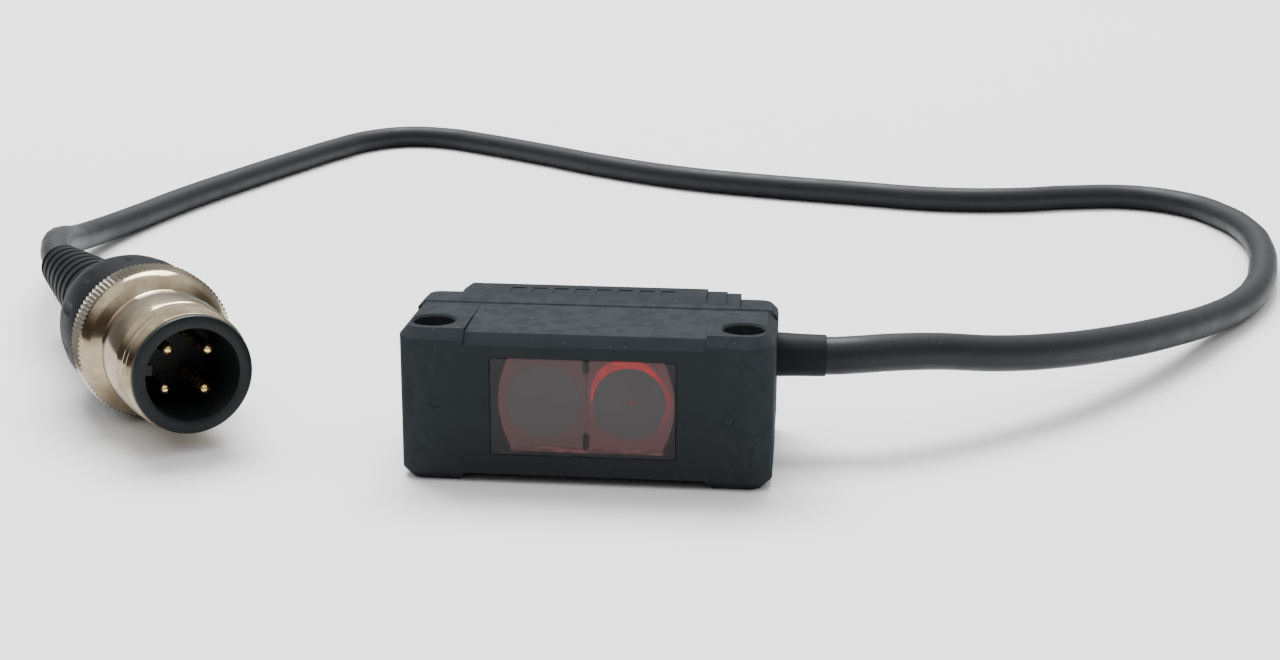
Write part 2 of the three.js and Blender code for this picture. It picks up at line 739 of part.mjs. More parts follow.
// Tube of constant section along a smooth curve through the given points.
function tube(points, radius, sides, steps) {
  const section = [];
  for (let side = 0; side < sides; side += 1) {
    const angle = (2 * Math.PI * side) / sides;
    section.push([radius * Math.cos(angle), radius * Math.sin(angle)]);
  }
  const extrudePath = smoothPath(points);
  return new THREE.ExtrudeGeometry(polygon(section), { steps, extrudePath, bevelEnabled: false });
}

// Each core leaves the bushing at its own corner and ends on its own solder pad.
const CORES = [
  { name: "core_white", color: 0xd9d9d6, across: -0.5, up: 0.5, pad: 9.3 },
  { name: "core_brown", color: 0x6b3f23, across: 0.5, up: 0.5, pad: 7.9 },
  { name: "core_blue", color: 0x2a4f9c, across: 0.5, up: -0.5, pad: 6.5 },
  { name: "core_black", color: 0x1a1a1a, across: -0.5, up: -0.5, pad: 5.1 },
];
const PAD_ROW = { near: 9.4, far: 7.9, y: BACK_OF_MAIN + CORE.radius + CLEARANCE };

function coreWire({ across, up, pad }) {
  const startX = BUSHING.start - SOLDER_GAP;
  const y = CABLE.exitY + across;
  const z = CABLE.exitZ + up;
  const points = [
    [startX, y, z],
    [startX - CORE.straight, y + CORE.drift, z],
    [(startX + PAD_ROW.near) / 2, (y + PAD_ROW.y) / 2 + CORE.bow, (z + pad) / 2],
    [PAD_ROW.near, PAD_ROW.y, pad],
    [PAD_ROW.far, PAD_ROW.y, pad],
  ];
  return tube(points, CORE.radius, 6, 8);
}

place("cable_bushing", cableBushing(), SOFT_BLACK);
place("cable_clamp", cableClamp(), STEEL);
for (const core of CORES) {
  place(core.name, coreWire(core), finish(core.color, 0.5));
}

const cableSteps = Math.round(smoothPath(ROUTE).getLength() / CABLE.step);
place("cable", tube(ROUTE, CABLE.radius, CABLE.sides, cableSteps), CABLE_BLACK);

// ---------------------------------------------------------------- plug
// In the plug's group the axis is Y, its mating face is at y = 0 and the tail points along +Y.
function contactCarrier() {
  const { radius, lip, lipEnd, cavity, cavityDepth, length } = CARRIER;
  const shell = turned([
    [0, cavityDepth],
    [cavity, cavityDepth],
    [cavity, CARRIER_EDGE.innerDepth],
    [cavity + CARRIER_EDGE.inner, 0],
    [lip - CARRIER_EDGE.outer, 0],
    [lip, CARRIER_EDGE.outer],
    [lip, lipEnd],
    [radius, lipEnd],
    [radius, length],
    [0, length],
  ], 32);
  const key = block(
    [-cavity - KEY.sideRoot, -cavity + KEY.reach],
    [KEY.start, cavityDepth + KEY.endRoot],
    [-KEY.halfWidth, KEY.halfWidth],
  );
  const pinHoles = pinPlaces().map(([x, z]) =>
    barY(PIN.radius + CLEARANCE, x, [cavityDepth - 1, length + 1], z, { sides: 12 }));
  return cut(join(shell, key), ...pinHoles);
}

function pinPlaces() {
  const reach = PIN.circle / Math.SQRT2;
  return [[-reach, reach], [reach, reach], [reach, -reach], [-reach, -reach]];
}

function contactPin([x, z]) {
  const { radius, start, end, tip, tipDepth, taper } = PIN;
  return turned([
    [0, start],
    [tip, start + tipDepth],
    [radius, start + taper],
    [radius, end],
    [0, end],
  ], 12).translate(x, 0, z);
}

// Nut: thread at the front, plain sleeve, groove, then the flange and knurled band.
function couplingNut() {
  const { radius, sleeve, threadRadius, rootRadius, bore, rearBore } = NUT;
  const { front, threadEnd, groove, flange, knurl, seat, rear } = NUT_SPAN;
  const { relief, grooveWall, flangeFoot, flangeStep, edge } = NUT_SHAPE;
  const outside = [[bore, front], [rootRadius, front]];
  for (let turn = front + THREAD.start; turn + THREAD.pitch <= threadEnd; turn += THREAD.pitch) {
    outside.push(
      [threadRadius, turn + THREAD.crest],
      [threadRadius, turn + THREAD.crestEnd],
      [rootRadius, turn + THREAD.end],
    );
  }
  outside.push(
    [sleeve, threadEnd + relief],
    [sleeve, groove],
    [rootRadius, groove + grooveWall],
    [rootRadius, flange - flangeFoot],
    [radius - flangeStep, flange],
    [radius, knurl],
    [radius, rear - edge],
    [radius - edge, rear],
    [rearBore, rear],
    [rearBore, seat],
    [bore, seat],
  );
  return turnedRing(outside, 36);
}

// Body: collar inside the nut, grip, neck and tapered tail; a pocket in front takes the carrier.
function plugBody() {
  const collar = NUT.rearBore - PLUG_GAP;
  const collarFront = NUT_SPAN.seat + PLUG_GAP;
  const grip = NUT_SPAN.rear + PLUG_GAP;
  const pocket = CARRIER.radius + 2 * CLEARANCE;
  const { radius, neckStart, neck, tail, pocketEnd } = GRIP;
  return turned([
    [0, pocketEnd],
    [pocket, pocketEnd],
    [pocket, collarFront],
    [collar, collarFront],
    [collar, grip],
    ...GRIP_OUTLINE.map(([narrower, behind]) => [radius - narrower, grip + behind]),
    [neck, neckStart],
    [tail, PLUG.length],
    [0, PLUG.length],
  ], 32);
}

place("contact_carrier", contactCarrier(), SOFT_BLACK, plug);
pinPlaces().forEach((spot, index) => place(`contact_pin_${index + 1}`, contactPin(spot), GOLD, plug));
place("coupling_nut", couplingNut(), NICKEL, plug);
place("plug_body", plugBody(), SOFT_BLACK, plug);

export default sensor;
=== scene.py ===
"""Looks of a compact photoelectric sensor, its cable and its round plug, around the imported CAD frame.

Pieces are modelled in millimetres and brought to metres when they are settled into place.
"""
import math

import bpy
from mathutils import Matrix, Vector


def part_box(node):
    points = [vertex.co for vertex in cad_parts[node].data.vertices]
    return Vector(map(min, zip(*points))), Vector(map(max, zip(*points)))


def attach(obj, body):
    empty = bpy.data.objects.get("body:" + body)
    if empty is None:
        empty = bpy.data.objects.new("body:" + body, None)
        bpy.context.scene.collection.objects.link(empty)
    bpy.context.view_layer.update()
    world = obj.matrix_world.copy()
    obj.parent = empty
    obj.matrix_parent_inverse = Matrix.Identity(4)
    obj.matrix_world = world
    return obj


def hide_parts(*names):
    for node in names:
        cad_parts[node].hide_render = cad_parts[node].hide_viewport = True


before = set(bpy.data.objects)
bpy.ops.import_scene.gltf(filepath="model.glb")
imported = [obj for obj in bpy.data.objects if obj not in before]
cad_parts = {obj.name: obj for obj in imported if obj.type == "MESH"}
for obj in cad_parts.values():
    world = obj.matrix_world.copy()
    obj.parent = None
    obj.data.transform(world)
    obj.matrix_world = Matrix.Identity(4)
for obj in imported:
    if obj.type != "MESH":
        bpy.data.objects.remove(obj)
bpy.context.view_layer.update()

MM = 0.001


def node_box(name):
    """Lowest and highest corner of a CAD node, in millimetres."""
    low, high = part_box(name)
    return [value / MM for value in low], [value / MM for value in high]


# ---------------------------------------------------------------- sizes, in millimetres
CASE_LOW, CASE_HIGH = node_box("front_housing")
COVER_HIGH = node_box("rear_cover")[1]
HALF_WIDTH = CASE_HIGH[0]
FRONT = CASE_LOW[1]
PARTING = CASE_HIGH[1]
TOP = CASE_HIGH[2]
REAR = COVER_HIGH[1]
WALL = 1.2
CLEARANCE = 0.05

MOUNT = {"pitch": 25.4, "radius": 1.7, "setback": 3.2}
PAD_INNER = 9.8
TOP_RECESS = 0.35
FOOT_HEIGHT = 0.85
FOOT_RAMP = 0.7
FRONT_CORNER = 2.0
REAR_CORNER = 1.5
TOP_CHAMFER = 0.8
SHOULDER_EDGE = 0.5
PARTING_EDGE = {"front": 0.14, "rear": 0.34}
FRONT_HOLLOW = {"half": 10.3, "low": 1.95, "high": 11.3}
REAR_HOLLOW = {"half": 14.0, "low": 2.2, "high": 10.6}

SHOULDER = FRONT + 13.2
STRIP_TOP = COVER_HIGH[2]
STRIP = {"left": -11.35, "right": 12.1, "ramp": 0.75, "start": 0.5, "end": 4.9}
STRIP_SLOPE = 1.1
BACK = {"low": 1.2, "high": 11.6, "edge": 0.7}

# Steps at the right end of the strip: where each starts and how far it drops.
STRIP_STEPS = ((9.2, 0.2), (10.9, 0.33))
POCKET = {"count": 8, "pitch": 1.85, "middle": -0.6, "half": 0.6, "start": 2.1, "end": 3.7, "depth": 0.07}

# Ejector marks on the front face: x, z, radius.
EJECTOR_MARKS = ((-12.1, 6.8, 0.46), (11.7, 6.1, 0.5))
HOLE_FLARE = {"wider": 0.4, "inside": 0.18, "outside": 0.22}

WINDOW_LOW, WINDOW_HIGH = node_box("front_window")
OPENING = {"left": -7.7, "right": 7.5, "low": 2.5, "high": 10.76}
LENS = {"pitch": 7.1, "centre": -0.05, "height": 6.5, "radius": 3.03, "dome": 0.5}
PLATE = {"half": 3.95, "reach": 7.25, "bow": 8.3, "slot": 0.26, "notch": 1.3, "gap": 0.06, "deep": 0.7}
LENS_FRONT = FRONT + 2.2

CONTROL = {"height": 6.4, "hole": 2.1, "rim": 0.4}
ROTOR = {"neck": 1.5, "groove_start": 0.2, "groove_end": 0.65, "edge": 0.12, "pointer": 1.5}
BLADE = {"width": 0.6, "depth": 0.45, "cross": 2.6, "long": 3.0}
ADJUSTER_X = sum(corner[0] for corner in node_box("sensitivity_adjuster")) / 2
SELECTOR_X = sum(corner[0] for corner in node_box("mode_selector")) / 2

EXIT = (3.5, 8.2)
CABLE_RADIUS = 1.65
CABLE_HOLE = 1.95
BUSHING = {
    "start": 12.4, "neck_start": 13.0, "neck_end": 13.55, "end": 19.5,
    "flange": 2.35, "neck": 1.35, "body": 1.9,
}
PLUG_PLACE = (-33.75, -4.35, 7.0)
PLUG_TURN = math.radians(35.5)
PLUG_ROLL = math.radians(8)
PLUG_LENGTH = 45.0
PLUG_GAP = 0.3
NUT = {"radius": 6.95, "sleeve": 5.55, "thread": 5.42, "root": 5.15, "bore": 4.7, "rear_bore": 5.9}
CARRIER = {"radius": 4.6, "lip": 5.2, "lip_end": 0.6, "cavity": 4.0, "deep": 8.6, "length": 14.6}
KEY = {"reach": 1.0, "half": 0.45, "start": 1.6}
GRIP = {"radius": 6.65, "neck_start": 27.0, "neck": 3.9, "tail": 2.35, "pocket_end": 15.9}
PIN = {"radius": 0.5, "circle": 2.5, "start": 1.8, "end": 15.4}

# Where the cable starts inside its sleeve, and its centreline from the sleeve to the tail of the plug.
CABLE_START = 16.6
ROUTE = [
    (CABLE_START + 0.05, *EXIT),
    (19.8, 3.5, 8.2), (22.2, 3.8, 8.3), (25.2, 5.2, 8.2), (29.4, 7.7, 7.7), (34.6, 11.1, 6.7),
    (40.6, 16.1, 5.7), (47.2, 23.4, 4.6), (54.4, 33.0, 3.4), (60.4, 42.6, 2.3), (65.4, 51.4, 1.8),
    (69.0, 60.0, 1.7), (71.5, 69.0, 1.7), (73.4, 78.5, 1.7), (74.2, 88.5, 1.7), (73.0, 98.2, 1.7),
    (69.3, 106.6, 1.7), (62.8, 110.6, 1.7), (54.4, 109.6, 1.7), (45.6, 106.6, 1.7), (36.0, 105.9, 1.7),
    (24.6, 108.8, 1.7), (12.0, 112.4, 1.7), (0.2, 116.9, 1.7), (-11.8, 124.4, 1.7), (-24.2, 134.6, 1.7),
    (-34.6, 142.6, 1.7), (-41.6, 147.0, 1.7), (-48.2, 147.6, 1.7), (-53.4, 143.4, 1.7), (-57.0, 134.8, 1.7),
    (-60.2, 123.8, 1.7), (-64.0, 109.4, 1.7), (-67.6, 94.0, 1.7), (-69.8, 80.0, 1.8), (-70.6, 68.6, 2.4),
    (-69.4, 58.6, 3.8), (-67.4, 50.6, 5.5), (-65.4, 44.2, 6.6), (-63.4, 39.0, 6.95), (-61.55, 35.0, 7.0),
    (-60.06, 32.53, 7.0),
]

NUT_SPAN = {
    "front": 0.9, "thread_end": 3.3, "groove": 8.3, "flange": 10.1, "knurl": 11.0, "seat": 11.6, "rear": 13.8,
}
THREAD_PITCH = 1.0
KNURL_COUNT = 100
INDICATOR = {"x": -12.6, "half": 0.7, "tall": 2.5}

# Camera place in metres, turn and pitch in degrees, focal length for a 36 mm sensor.
CAMERA = {"place": (0.01733, -0.15024, 0.05282), "turn": 5.17, "pitch": 15.51, "roll": 0.35, "focal": 52.1}

# Brightness of the studio overhead, at the horizon behind the object, and at the horizon in front of it.
SKY = {"top": (1.75, 1.76, 1.78), "back": (0.55, 0.56, 0.58), "front": (0.14, 0.12, 0.1)}
# Each lamp: name, place, target, size, power.
LAMPS = [
    ("overhead", (-0.15, 0.5, 0.9), (0.0, 0.04, 0.0), (0.8, 0.5), 24.0),
]
HAZE = {"dark": (0.0385, 0.0385, 0.039), "light": (0.042, 0.042, 0.0425), "cover": 0.66}


# ---------------------------------------------------------------- camera, light and floor
def make_camera():
    bpy.ops.object.camera_add()
    camera = bpy.context.object
    camera.name = "view_camera"
    turn = Matrix.Rotation(math.radians(CAMERA["turn"]), 4, "Z")
    pitch = Matrix.Rotation(math.radians(90 - CAMERA["pitch"]), 4, "X")
    roll = Matrix.Rotation(math.radians(CAMERA["roll"]), 4, "Z")
    camera.matrix_world = Matrix.Translation(CAMERA["place"]) @ turn @ pitch @ roll
    camera.data.sensor_width = 36
    camera.data.lens = CAMERA["focal"]
    camera.data.clip_start = 0.01
    camera.data.clip_end = 10
    bpy.context.scene.camera = camera


def make_light(name, place, target, size, power):
    bpy.ops.object.light_add(type="AREA", location=place)
    lamp = bpy.context.object
    lamp.name = name
    lamp.data.shape = "RECTANGLE"
    lamp.data.size, lamp.data.size_y = size
    lamp.data.energy = power
    aim = Vector(target) - Vector(place)
    lamp.rotation_euler = aim.to_track_quat("-Z", "Y").to_euler()


def make_world():
    """Soft room: bright overhead and behind the object, dim in front of it."""
    world = bpy.data.worlds.new("studio")
    world.use_nodes = True
    tree = world.node_tree
    split = tree.nodes.new("ShaderNodeSeparateXYZ")
    tree.links.new(tree.nodes.new("ShaderNodeTexCoord").outputs["Generated"], split.inputs["Vector"])
    horizon = mix_colors(tree, add_ramp(tree, split.outputs["Y"], -0.2, 0.9), SKY["front"], SKY["back"])
    room = mix_colors(tree, add_ramp(tree, split.outputs["Z"], 0.25, 0.8), horizon, SKY["top"])
    tree.links.new(room, tree.nodes["Background"].inputs["Color"])
    bpy.context.scene.world = world


# ---------------------------------------------------------------- shader groups
def new_group(name, inputs, outputs):
    """Empty shader group with named float inputs (name, default) and outputs (name, type)."""
    group = bpy.data.node_groups.new(name, "ShaderNodeTree")
    for label, default in inputs:
        socket = group.interface.new_socket(label, in_out="INPUT", socket_type="NodeSocketFloat")
        socket.default_value = default
    for label, kind in outputs:
        group.interface.new_socket(label, in_out="OUTPUT", socket_type=kind)
    nodes = group.nodes
    return group, nodes.new("NodeGroupInput"), nodes.new("NodeGroupOutput")


def add_math(tree, operation, first, second=None):
    """Math node whose inputs are sockets or plain numbers; returns its output."""
    node = tree.nodes.new("ShaderNodeMath")
    node.operation = operation
    for index, value in enumerate((first, second)):
        if value is None:
            continue
        if isinstance(value, (int, float)):
            node.inputs[index].default_value = value
        else:
            tree.links.new(value, node.inputs[index])
    return node.outputs[0]


def add_noise(tree, vector, scale, detail=3.0, roughness=0.5):
    node = tree.nodes.new("ShaderNodeTexNoise")
    node.inputs["Detail"].default_value = detail
    node.inputs["Roughness"].default_value = roughness
    if isinstance(scale, (int, float)):
        node.inputs["Scale"].default_value = scale
    else:
        tree.links.new(scale, node.inputs["Scale"])
    tree.links.new(vector, node.inputs["Vector"])
    return node.outputs["Fac"]


def add_ramp(tree, value, low, high):
    """Smooth step from 0 at `low` to 1 at `high`."""
    node = tree.nodes.new("ShaderNodeMapRange")
    node.interpolation_type = "SMOOTHSTEP"
    node.inputs["From Min"].default_value = low
    node.inputs["From Max"].default_value = high
    tree.links.new(value, node.inputs["Value"])
    return node.outputs["Result"]


def make_moulded_grain():
    """Spark-eroded mould texture: fine pits, with a broad mottling for the colour."""
    group, entry, leave = new_group(
        "moulded_grain",
        [("Grain Scale", 9000.0), ("Mottle Scale", 260.0)],
        [("Height", "NodeSocketFloat"), ("Mottle", "NodeSocketFloat")],
    )
    place = group.nodes.new("ShaderNodeTexCoord").outputs["Object"]
    fine = add_noise(group, place, entry.outputs["Grain Scale"], detail=2.0, roughness=0.6)
    coarse_scale = add_math(group, "MULTIPLY", entry.outputs["Grain Scale"], 0.35)
    coarse = add_noise(group, place, coarse_scale, detail=2.0)
    height = add_math(group, "ADD", fine, coarse)
    mottle = add_noise(group, place, entry.outputs["Mottle Scale"], detail=5.0, roughness=0.6)
    group.links.new(height, leave.inputs["Height"])
    group.links.new(add_ramp(group, mottle, 0.32, 0.68), leave.inputs["Mottle"])
    return group


def make_edge_rub_and_highlight():
    """Lighter convex edges, broken up by noise: partly rubbing wear, partly a painted highlight where the
    edges catch the light.
    """
    group, entry, leave = new_group(
        "edge_rub_and_highlight",
        [("Low", 0.52), ("High", 0.62), ("Break Scale", 900.0)],
        [("Mask", "NodeSocketFloat")],
    )
    nodes = group.nodes
    pointed = nodes.new("ShaderNodeNewGeometry").outputs["Pointiness"]
    step = nodes.new("ShaderNodeMapRange")
    step.interpolation_type = "SMOOTHSTEP"
    group.links.new(pointed, step.inputs["Value"])
    group.links.new(entry.outputs["Low"], step.inputs["From Min"])
    group.links.new(entry.outputs["High"], step.inputs["From Max"])
    place = nodes.new("ShaderNodeTexCoord").outputs["Object"]
    broken = add_ramp(group, add_noise(group, place, entry.outputs["Break Scale"]), 0.35, 0.6)
    group.links.new(add_math(group, "MULTIPLY", step.outputs["Result"], broken), leave.inputs["Mask"])
    return group


def make_lint():
    """Sparse pale specks of dust, more of them on faces that look up."""
    group, entry, leave = new_group(
        "lint", [("Speck Scale", 2600.0), ("Rarity", 0.775)], [("Mask", "NodeSocketFloat")]
    )
    nodes = group.nodes
    place = nodes.new("ShaderNodeTexCoord").outputs["Object"]
    speck = add_noise(group, place, entry.outputs["Speck Scale"], detail=1.0)
    above = add_math(group, "GREATER_THAN", speck, entry.outputs["Rarity"])
    split = nodes.new("ShaderNodeSeparateXYZ")
    group.links.new(nodes.new("ShaderNodeNewGeometry").outputs["Normal"], split.inputs["Vector"])
    upward = add_ramp(group, split.outputs["Z"], -0.4, 0.9)
    lit = add_math(group, "ADD", add_math(group, "MULTIPLY", upward, 0.7), 0.3)
    group.links.new(add_math(group, "MULTIPLY", above, lit), leave.inputs["Mask"])
    return group


def make_turned_marks():
    """Fine rings left by turning, square to an axis that runs through a point."""
    group, entry, leave = new_group(
        "turned_marks",
        [("Axis X", 0.0), ("Axis Y", 1.0), ("Ring Scale", 5200.0)],
        [("Height", "NodeSocketFloat"), ("Tarnish", "NodeSocketFloat")],
    )
    nodes = group.nodes
    place = nodes.new("ShaderNodeTexCoord").outputs["Object"]
    split = nodes.new("ShaderNodeSeparateXYZ")
    group.links.new(place, split.inputs["Vector"])
    along = add_math(
        group, "ADD",
        add_math(group, "MULTIPLY", split.outputs["X"], entry.outputs["Axis X"]),
        add_math(group, "MULTIPLY", split.outputs["Y"], entry.outputs["Axis Y"]),
    )
    spread = nodes.new("ShaderNodeCombineXYZ")
    group.links.new(along, spread.inputs["X"])
    rings = add_noise(group, spread.outputs["Vector"], entry.outputs["Ring Scale"], detail=4.0, roughness=0.7)
    tarnish = add_noise(group, place, 420.0, detail=4.0, roughness=0.6)
    group.links.new(rings, leave.inputs["Height"])
    group.links.new(add_ramp(group, tarnish, 0.3, 0.7), leave.inputs["Tarnish"])
    return group


def make_lens_painted_light():
    """Masks for light painted on a lens moulding: red light past one circle, a bright crescent beside it, a
    glint in the middle.
    """
    group, entry, leave = new_group(
        "lens_painted_light",
        [("Tint X", 0.0), ("Tint Z", 0.0), ("Tint Radius", 0.003),
         ("Lens X", 0.0), ("Lens Z", 0.0), ("Lens Radius", 0.003),
         ("Crescent X", 0.0), ("Crescent Z", 0.0), ("Crescent Radius", 0.0035)],
        [("Tint", "NodeSocketFloat"), ("Plate", "NodeSocketFloat"), ("Crescent", "NodeSocketFloat"),
         ("Spark", "NodeSocketFloat")],
    )
    nodes = group.nodes
    place = nodes.new("ShaderNodeTexCoord").outputs["Object"]
    split = nodes.new("ShaderNodeSeparateXYZ")
    group.links.new(place, split.inputs["Vector"])

    def reach(label):
        """Distance in the lens plane from the named centre."""
        across = add_math(group, "SUBTRACT", split.outputs["X"], entry.outputs[label + " X"])
        up = add_math(group, "SUBTRACT", split.outputs["Z"], entry.outputs[label + " Z"])
        squares = [add_math(group, "MULTIPLY", side, side) for side in (across, up)]
        return add_math(group, "SQRT", add_math(group, "ADD", *squares))

    def uneven(mask, scale, low):
        """The mask, dimmed in blotches down to a share of its strength."""
        blotch = add_ramp(group, add_noise(group, place, scale, detail=4.0), 0.3, 0.7)
        share = add_math(group, "ADD", add_math(group, "MULTIPLY", blotch, 1 - low), low)
        return add_math(group, "MULTIPLY", mask, share)

    past_red_light = add_math(group, "GREATER_THAN", reach("Tint"), entry.outputs["Tint Radius"])
    from_lens = reach("Lens")
    past_lens = add_math(group, "GREATER_THAN", from_lens, entry.outputs["Lens Radius"])
    within = add_math(group, "LESS_THAN", reach("Crescent"), entry.outputs["Crescent Radius"])
    crescent = add_math(group, "MULTIPLY", past_lens, within)
    core = add_math(group, "LESS_THAN", from_lens, 0.55 * MM)
    speckle = add_ramp(group, add_noise(group, place, 2600.0, detail=2.0), 0.56, 0.62)
    group.links.new(uneven(past_red_light, 800.0, 0.45), leave.inputs["Tint"])
    group.links.new(uneven(past_lens, 600.0, 0.6), leave.inputs["Plate"])
    group.links.new(uneven(crescent, 900.0, 0.35), leave.inputs["Crescent"])
    group.links.new(add_math(group, "MULTIPLY", core, speckle), leave.inputs["Spark"])
    return group


GROUPS = {
    "grain": make_moulded_grain(),
    "edge_rub_and_sheen": make_edge_rub_and_highlight(),
    "lint": make_lint(),
    "turned": make_turned_marks(),
    "glow": make_lens_painted_light(),
}


# ---------------------------------------------------------------- materials
def new_material(name, metallic=0.0, roughness=0.5, specular=0.5):
    material = bpy.data.materials.new(name)
    material.use_nodes = True
    shader = material.node_tree.nodes["Principled BSDF"]
    shader.inputs["Metallic"].default_value = metallic
    shader.inputs["Roughness"].default_value = roughness
    shader.inputs["Specular IOR Level"].default_value = specular
    return material, material.node_tree, shader


def use_group(tree, key, **values):
    node = tree.nodes.new("ShaderNodeGroup")
    node.node_tree = GROUPS[key]
    for label, value in values.items():
        node.inputs[label.replace("_", " ")].default_value = value
    return node


def mix_colors(tree, mask, first, second):
    """Colour between two, by a mask; either may be a plain colour or a socket."""
    node = tree.nodes.new("ShaderNodeMix")
    node.data_type = "RGBA"
    tree.links.new(mask, node.inputs["Factor"])
    for label, value in (("A", first), ("B", second)):
        socket = next(s for s in node.inputs if s.name == label and s.type == "RGBA")
        if isinstance(value, tuple):
            socket.default_value = (*value, 1)
        else:
            tree.links.new(value, socket)
    return next(s for s in node.outputs if s.type == "RGBA")


def add_bump(tree, shader, height, distance, strength=1.0):
    bump = tree.nodes.new("ShaderNodeBump")
    bump.inputs["Distance"].default_value = distance
    bump.inputs["Strength"].default_value = strength
    tree.links.new(height, bump.inputs["Height"])
    tree.links.new(bump.outputs["Normal"], shader.inputs["Normal"])


def vary_roughness(tree, shader, mask, low, high):
    node = tree.nodes.new("ShaderNodeMapRange")
    node.inputs["To Min"].default_value = low
    node.inputs["To Max"].default_value = high
    tree.links.new(mask, node.inputs["Value"])
    tree.links.new(node.outputs["Result"], shader.inputs["Roughness"])


def moulded(name, dark, light, roughness, *, grain=9000.0, depth=0.004, edge=None, lint=None, specular=0.5):
    """Moulded plastic or rubber: mottled colour, mould grain, and if asked lighter edges (partly rubbing
    wear, partly a painted edge highlight) and dust.
    """
    material, tree, shader = new_material(name, roughness=sum(roughness) / 2, specular=specular)
    skin = use_group(tree, "grain", Grain_Scale=grain)
    color = mix_colors(tree, skin.outputs["Mottle"], dark, light)
    # Lighter convex edges: partly rubbing wear, partly a painted edge highlight.
    if edge:
        edge_rub_and_sheen = use_group(tree, "edge_rub_and_sheen")
        color = mix_colors(tree, edge_rub_and_sheen.outputs["Mask"], color, edge)
    if lint:
        dust = use_group(tree, "lint")
        color = mix_colors(tree, dust.outputs["Mask"], color, lint)
    tree.links.new(color, shader.inputs["Base Color"])
    vary_roughness(tree, shader, skin.outputs["Mottle"], *roughness)
    add_bump(tree, shader, skin.outputs["Height"], depth * MM)
    return material


def plated(name, bright, dull, roughness, axis):
    """Turned and plated metal, a little tarnished."""
    material, tree, shader = new_material(name, metallic=1.0)
    marks = use_group(tree, "turned", Axis_X=axis[0], Axis_Y=axis[1])
    tree.links.new(mix_colors(tree, marks.outputs["Tarnish"], bright, dull), shader.inputs["Base Color"])
    vary_roughness(tree, shader, marks.outputs["Tarnish"], *roughness)
    add_bump(tree, shader, marks.outputs["Height"], 0.004 * MM, strength=0.5)
    return material


def smoky_pane():
    """Dark pane whose front skin is hazy; the optics behind it show through."""
    material, tree, shader = new_material("smoky_pane", roughness=0.45, specular=0.12)
    skin = use_group(tree, "grain", Grain_Scale=6000.0, Mottle_Scale=180.0)
    color = mix_colors(tree, skin.outputs["Mottle"], HAZE["dark"], HAZE["light"])
    tree.links.new(color, shader.inputs["Base Color"])
    dust = use_group(tree, "lint", Speck_Scale=3200.0, Rarity=0.77)
    split = tree.nodes.new("ShaderNodeSeparateXYZ")
    tree.links.new(tree.nodes.new("ShaderNodeTexCoord").outputs["Object"], split.inputs["Vector"])
    skin_depth = add_math(tree, "LESS_THAN", split.outputs["Y"], (FRONT + 0.2) * MM)
    haze = add_math(tree, "MULTIPLY", skin_depth, HAZE["cover"])
    speck = add_math(tree, "MULTIPLY", dust.outputs["Mask"], 0.12)
    alpha = add_math(tree, "ADD", haze, speck)
    tree.links.new(alpha, shader.inputs["Alpha"])
    return material


def lens_material(name, lens_x, red_light, crescents, colors):
    """Clear moulding whose light is painted as emission: the grey disc's brightness stands in for reflected
    light, and the red light, crescents and glint are painted; the red light and crescents are (x, z, radius)
    circles in millimetres.
    """
    material, tree, shader = new_material(name, roughness=0.5, specular=0.1)
    masks = [
        use_group(
            tree, "glow",
            Tint_X=red_light[0] * MM, Tint_Z=red_light[1] * MM, Tint_Radius=red_light[2] * MM,
            Lens_X=lens_x * MM, Lens_Z=LENS["height"] * MM, Lens_Radius=LENS["radius"] * MM,
            Crescent_X=x * MM, Crescent_Z=z * MM, Crescent_Radius=radius * MM,
        )
        for x, z, radius in crescents
    ]
    first = masks[0].outputs
    mottle = use_group(tree, "grain", Mottle_Scale=500.0).outputs["Mottle"]
    disc = mix_colors(tree, mottle, colors["disc"], tuple(1.15 * part for part in colors["disc"]))
    tree.links.new(mix_colors(tree, first["Plate"], disc, colors["plate"]), shader.inputs["Base Color"])
    lit = mix_colors(tree, first["Plate"], colors["disc_painted_light"], colors["plate_painted_light"])
    lit = mix_colors(tree, first["Tint"], lit, colors["red_light_glow"])
    for mask, color in zip(masks, colors["crescents"]):
        lit = mix_colors(tree, mask.outputs["Crescent"], lit, color)
    lit = mix_colors(tree, first["Spark"], lit, colors["spark"])
    # Painted light: emission stands in for the light the moulding reflects and passes, grey over the disc and
    # red over the plate.
    tree.links.new(lit, shader.inputs["Emission Color"])
    shader.inputs["Emission Strength"].default_value = 1.0
    return material


def holder_material():
    """Grey frame round the lenses; red light spills on to its lower edge in patches."""
    material, tree, shader = new_material("holder_grey", roughness=0.55, specular=0.15)
    mottle = use_group(tree, "grain", Mottle_Scale=500.0).outputs["Mottle"]
    grey = mix_colors(tree, mottle, (0.018, 0.019, 0.02), (0.025, 0.026, 0.028))
    tree.links.new(grey, shader.inputs["Base Color"])
    place = tree.nodes.new("ShaderNodeTexCoord").outputs["Object"]
    split = tree.nodes.new("ShaderNodeSeparateXYZ")
    tree.links.new(place, split.inputs["Vector"])
    below = add_math(tree, "LESS_THAN", split.outputs["Z"], (LENS["height"] - PLATE["half"] + 0.02) * MM)
    beside = add_math(tree, "ABSOLUTE", split.outputs["X"])
    within = add_math(tree, "LESS_THAN", beside, (PLATE["reach"] - 0.9) * MM)
    patch = add_ramp(tree, add_noise(tree, place, 900.0, detail=2.0), 0.46, 0.6)
    share = add_math(tree, "ADD", add_math(tree, "MULTIPLY", patch, 0.6), 0.4)
    spill = add_math(tree, "MULTIPLY", add_math(tree, "MULTIPLY", below, within), share)
    lit = mix_colors(tree, spill, (0.0, 0.0, 0.0), (0.42, 0.15, 0.155))
    tree.links.new(lit, shader.inputs["Emission Color"])
    shader.inputs["Emission Strength"].default_value = 1.0
    return material


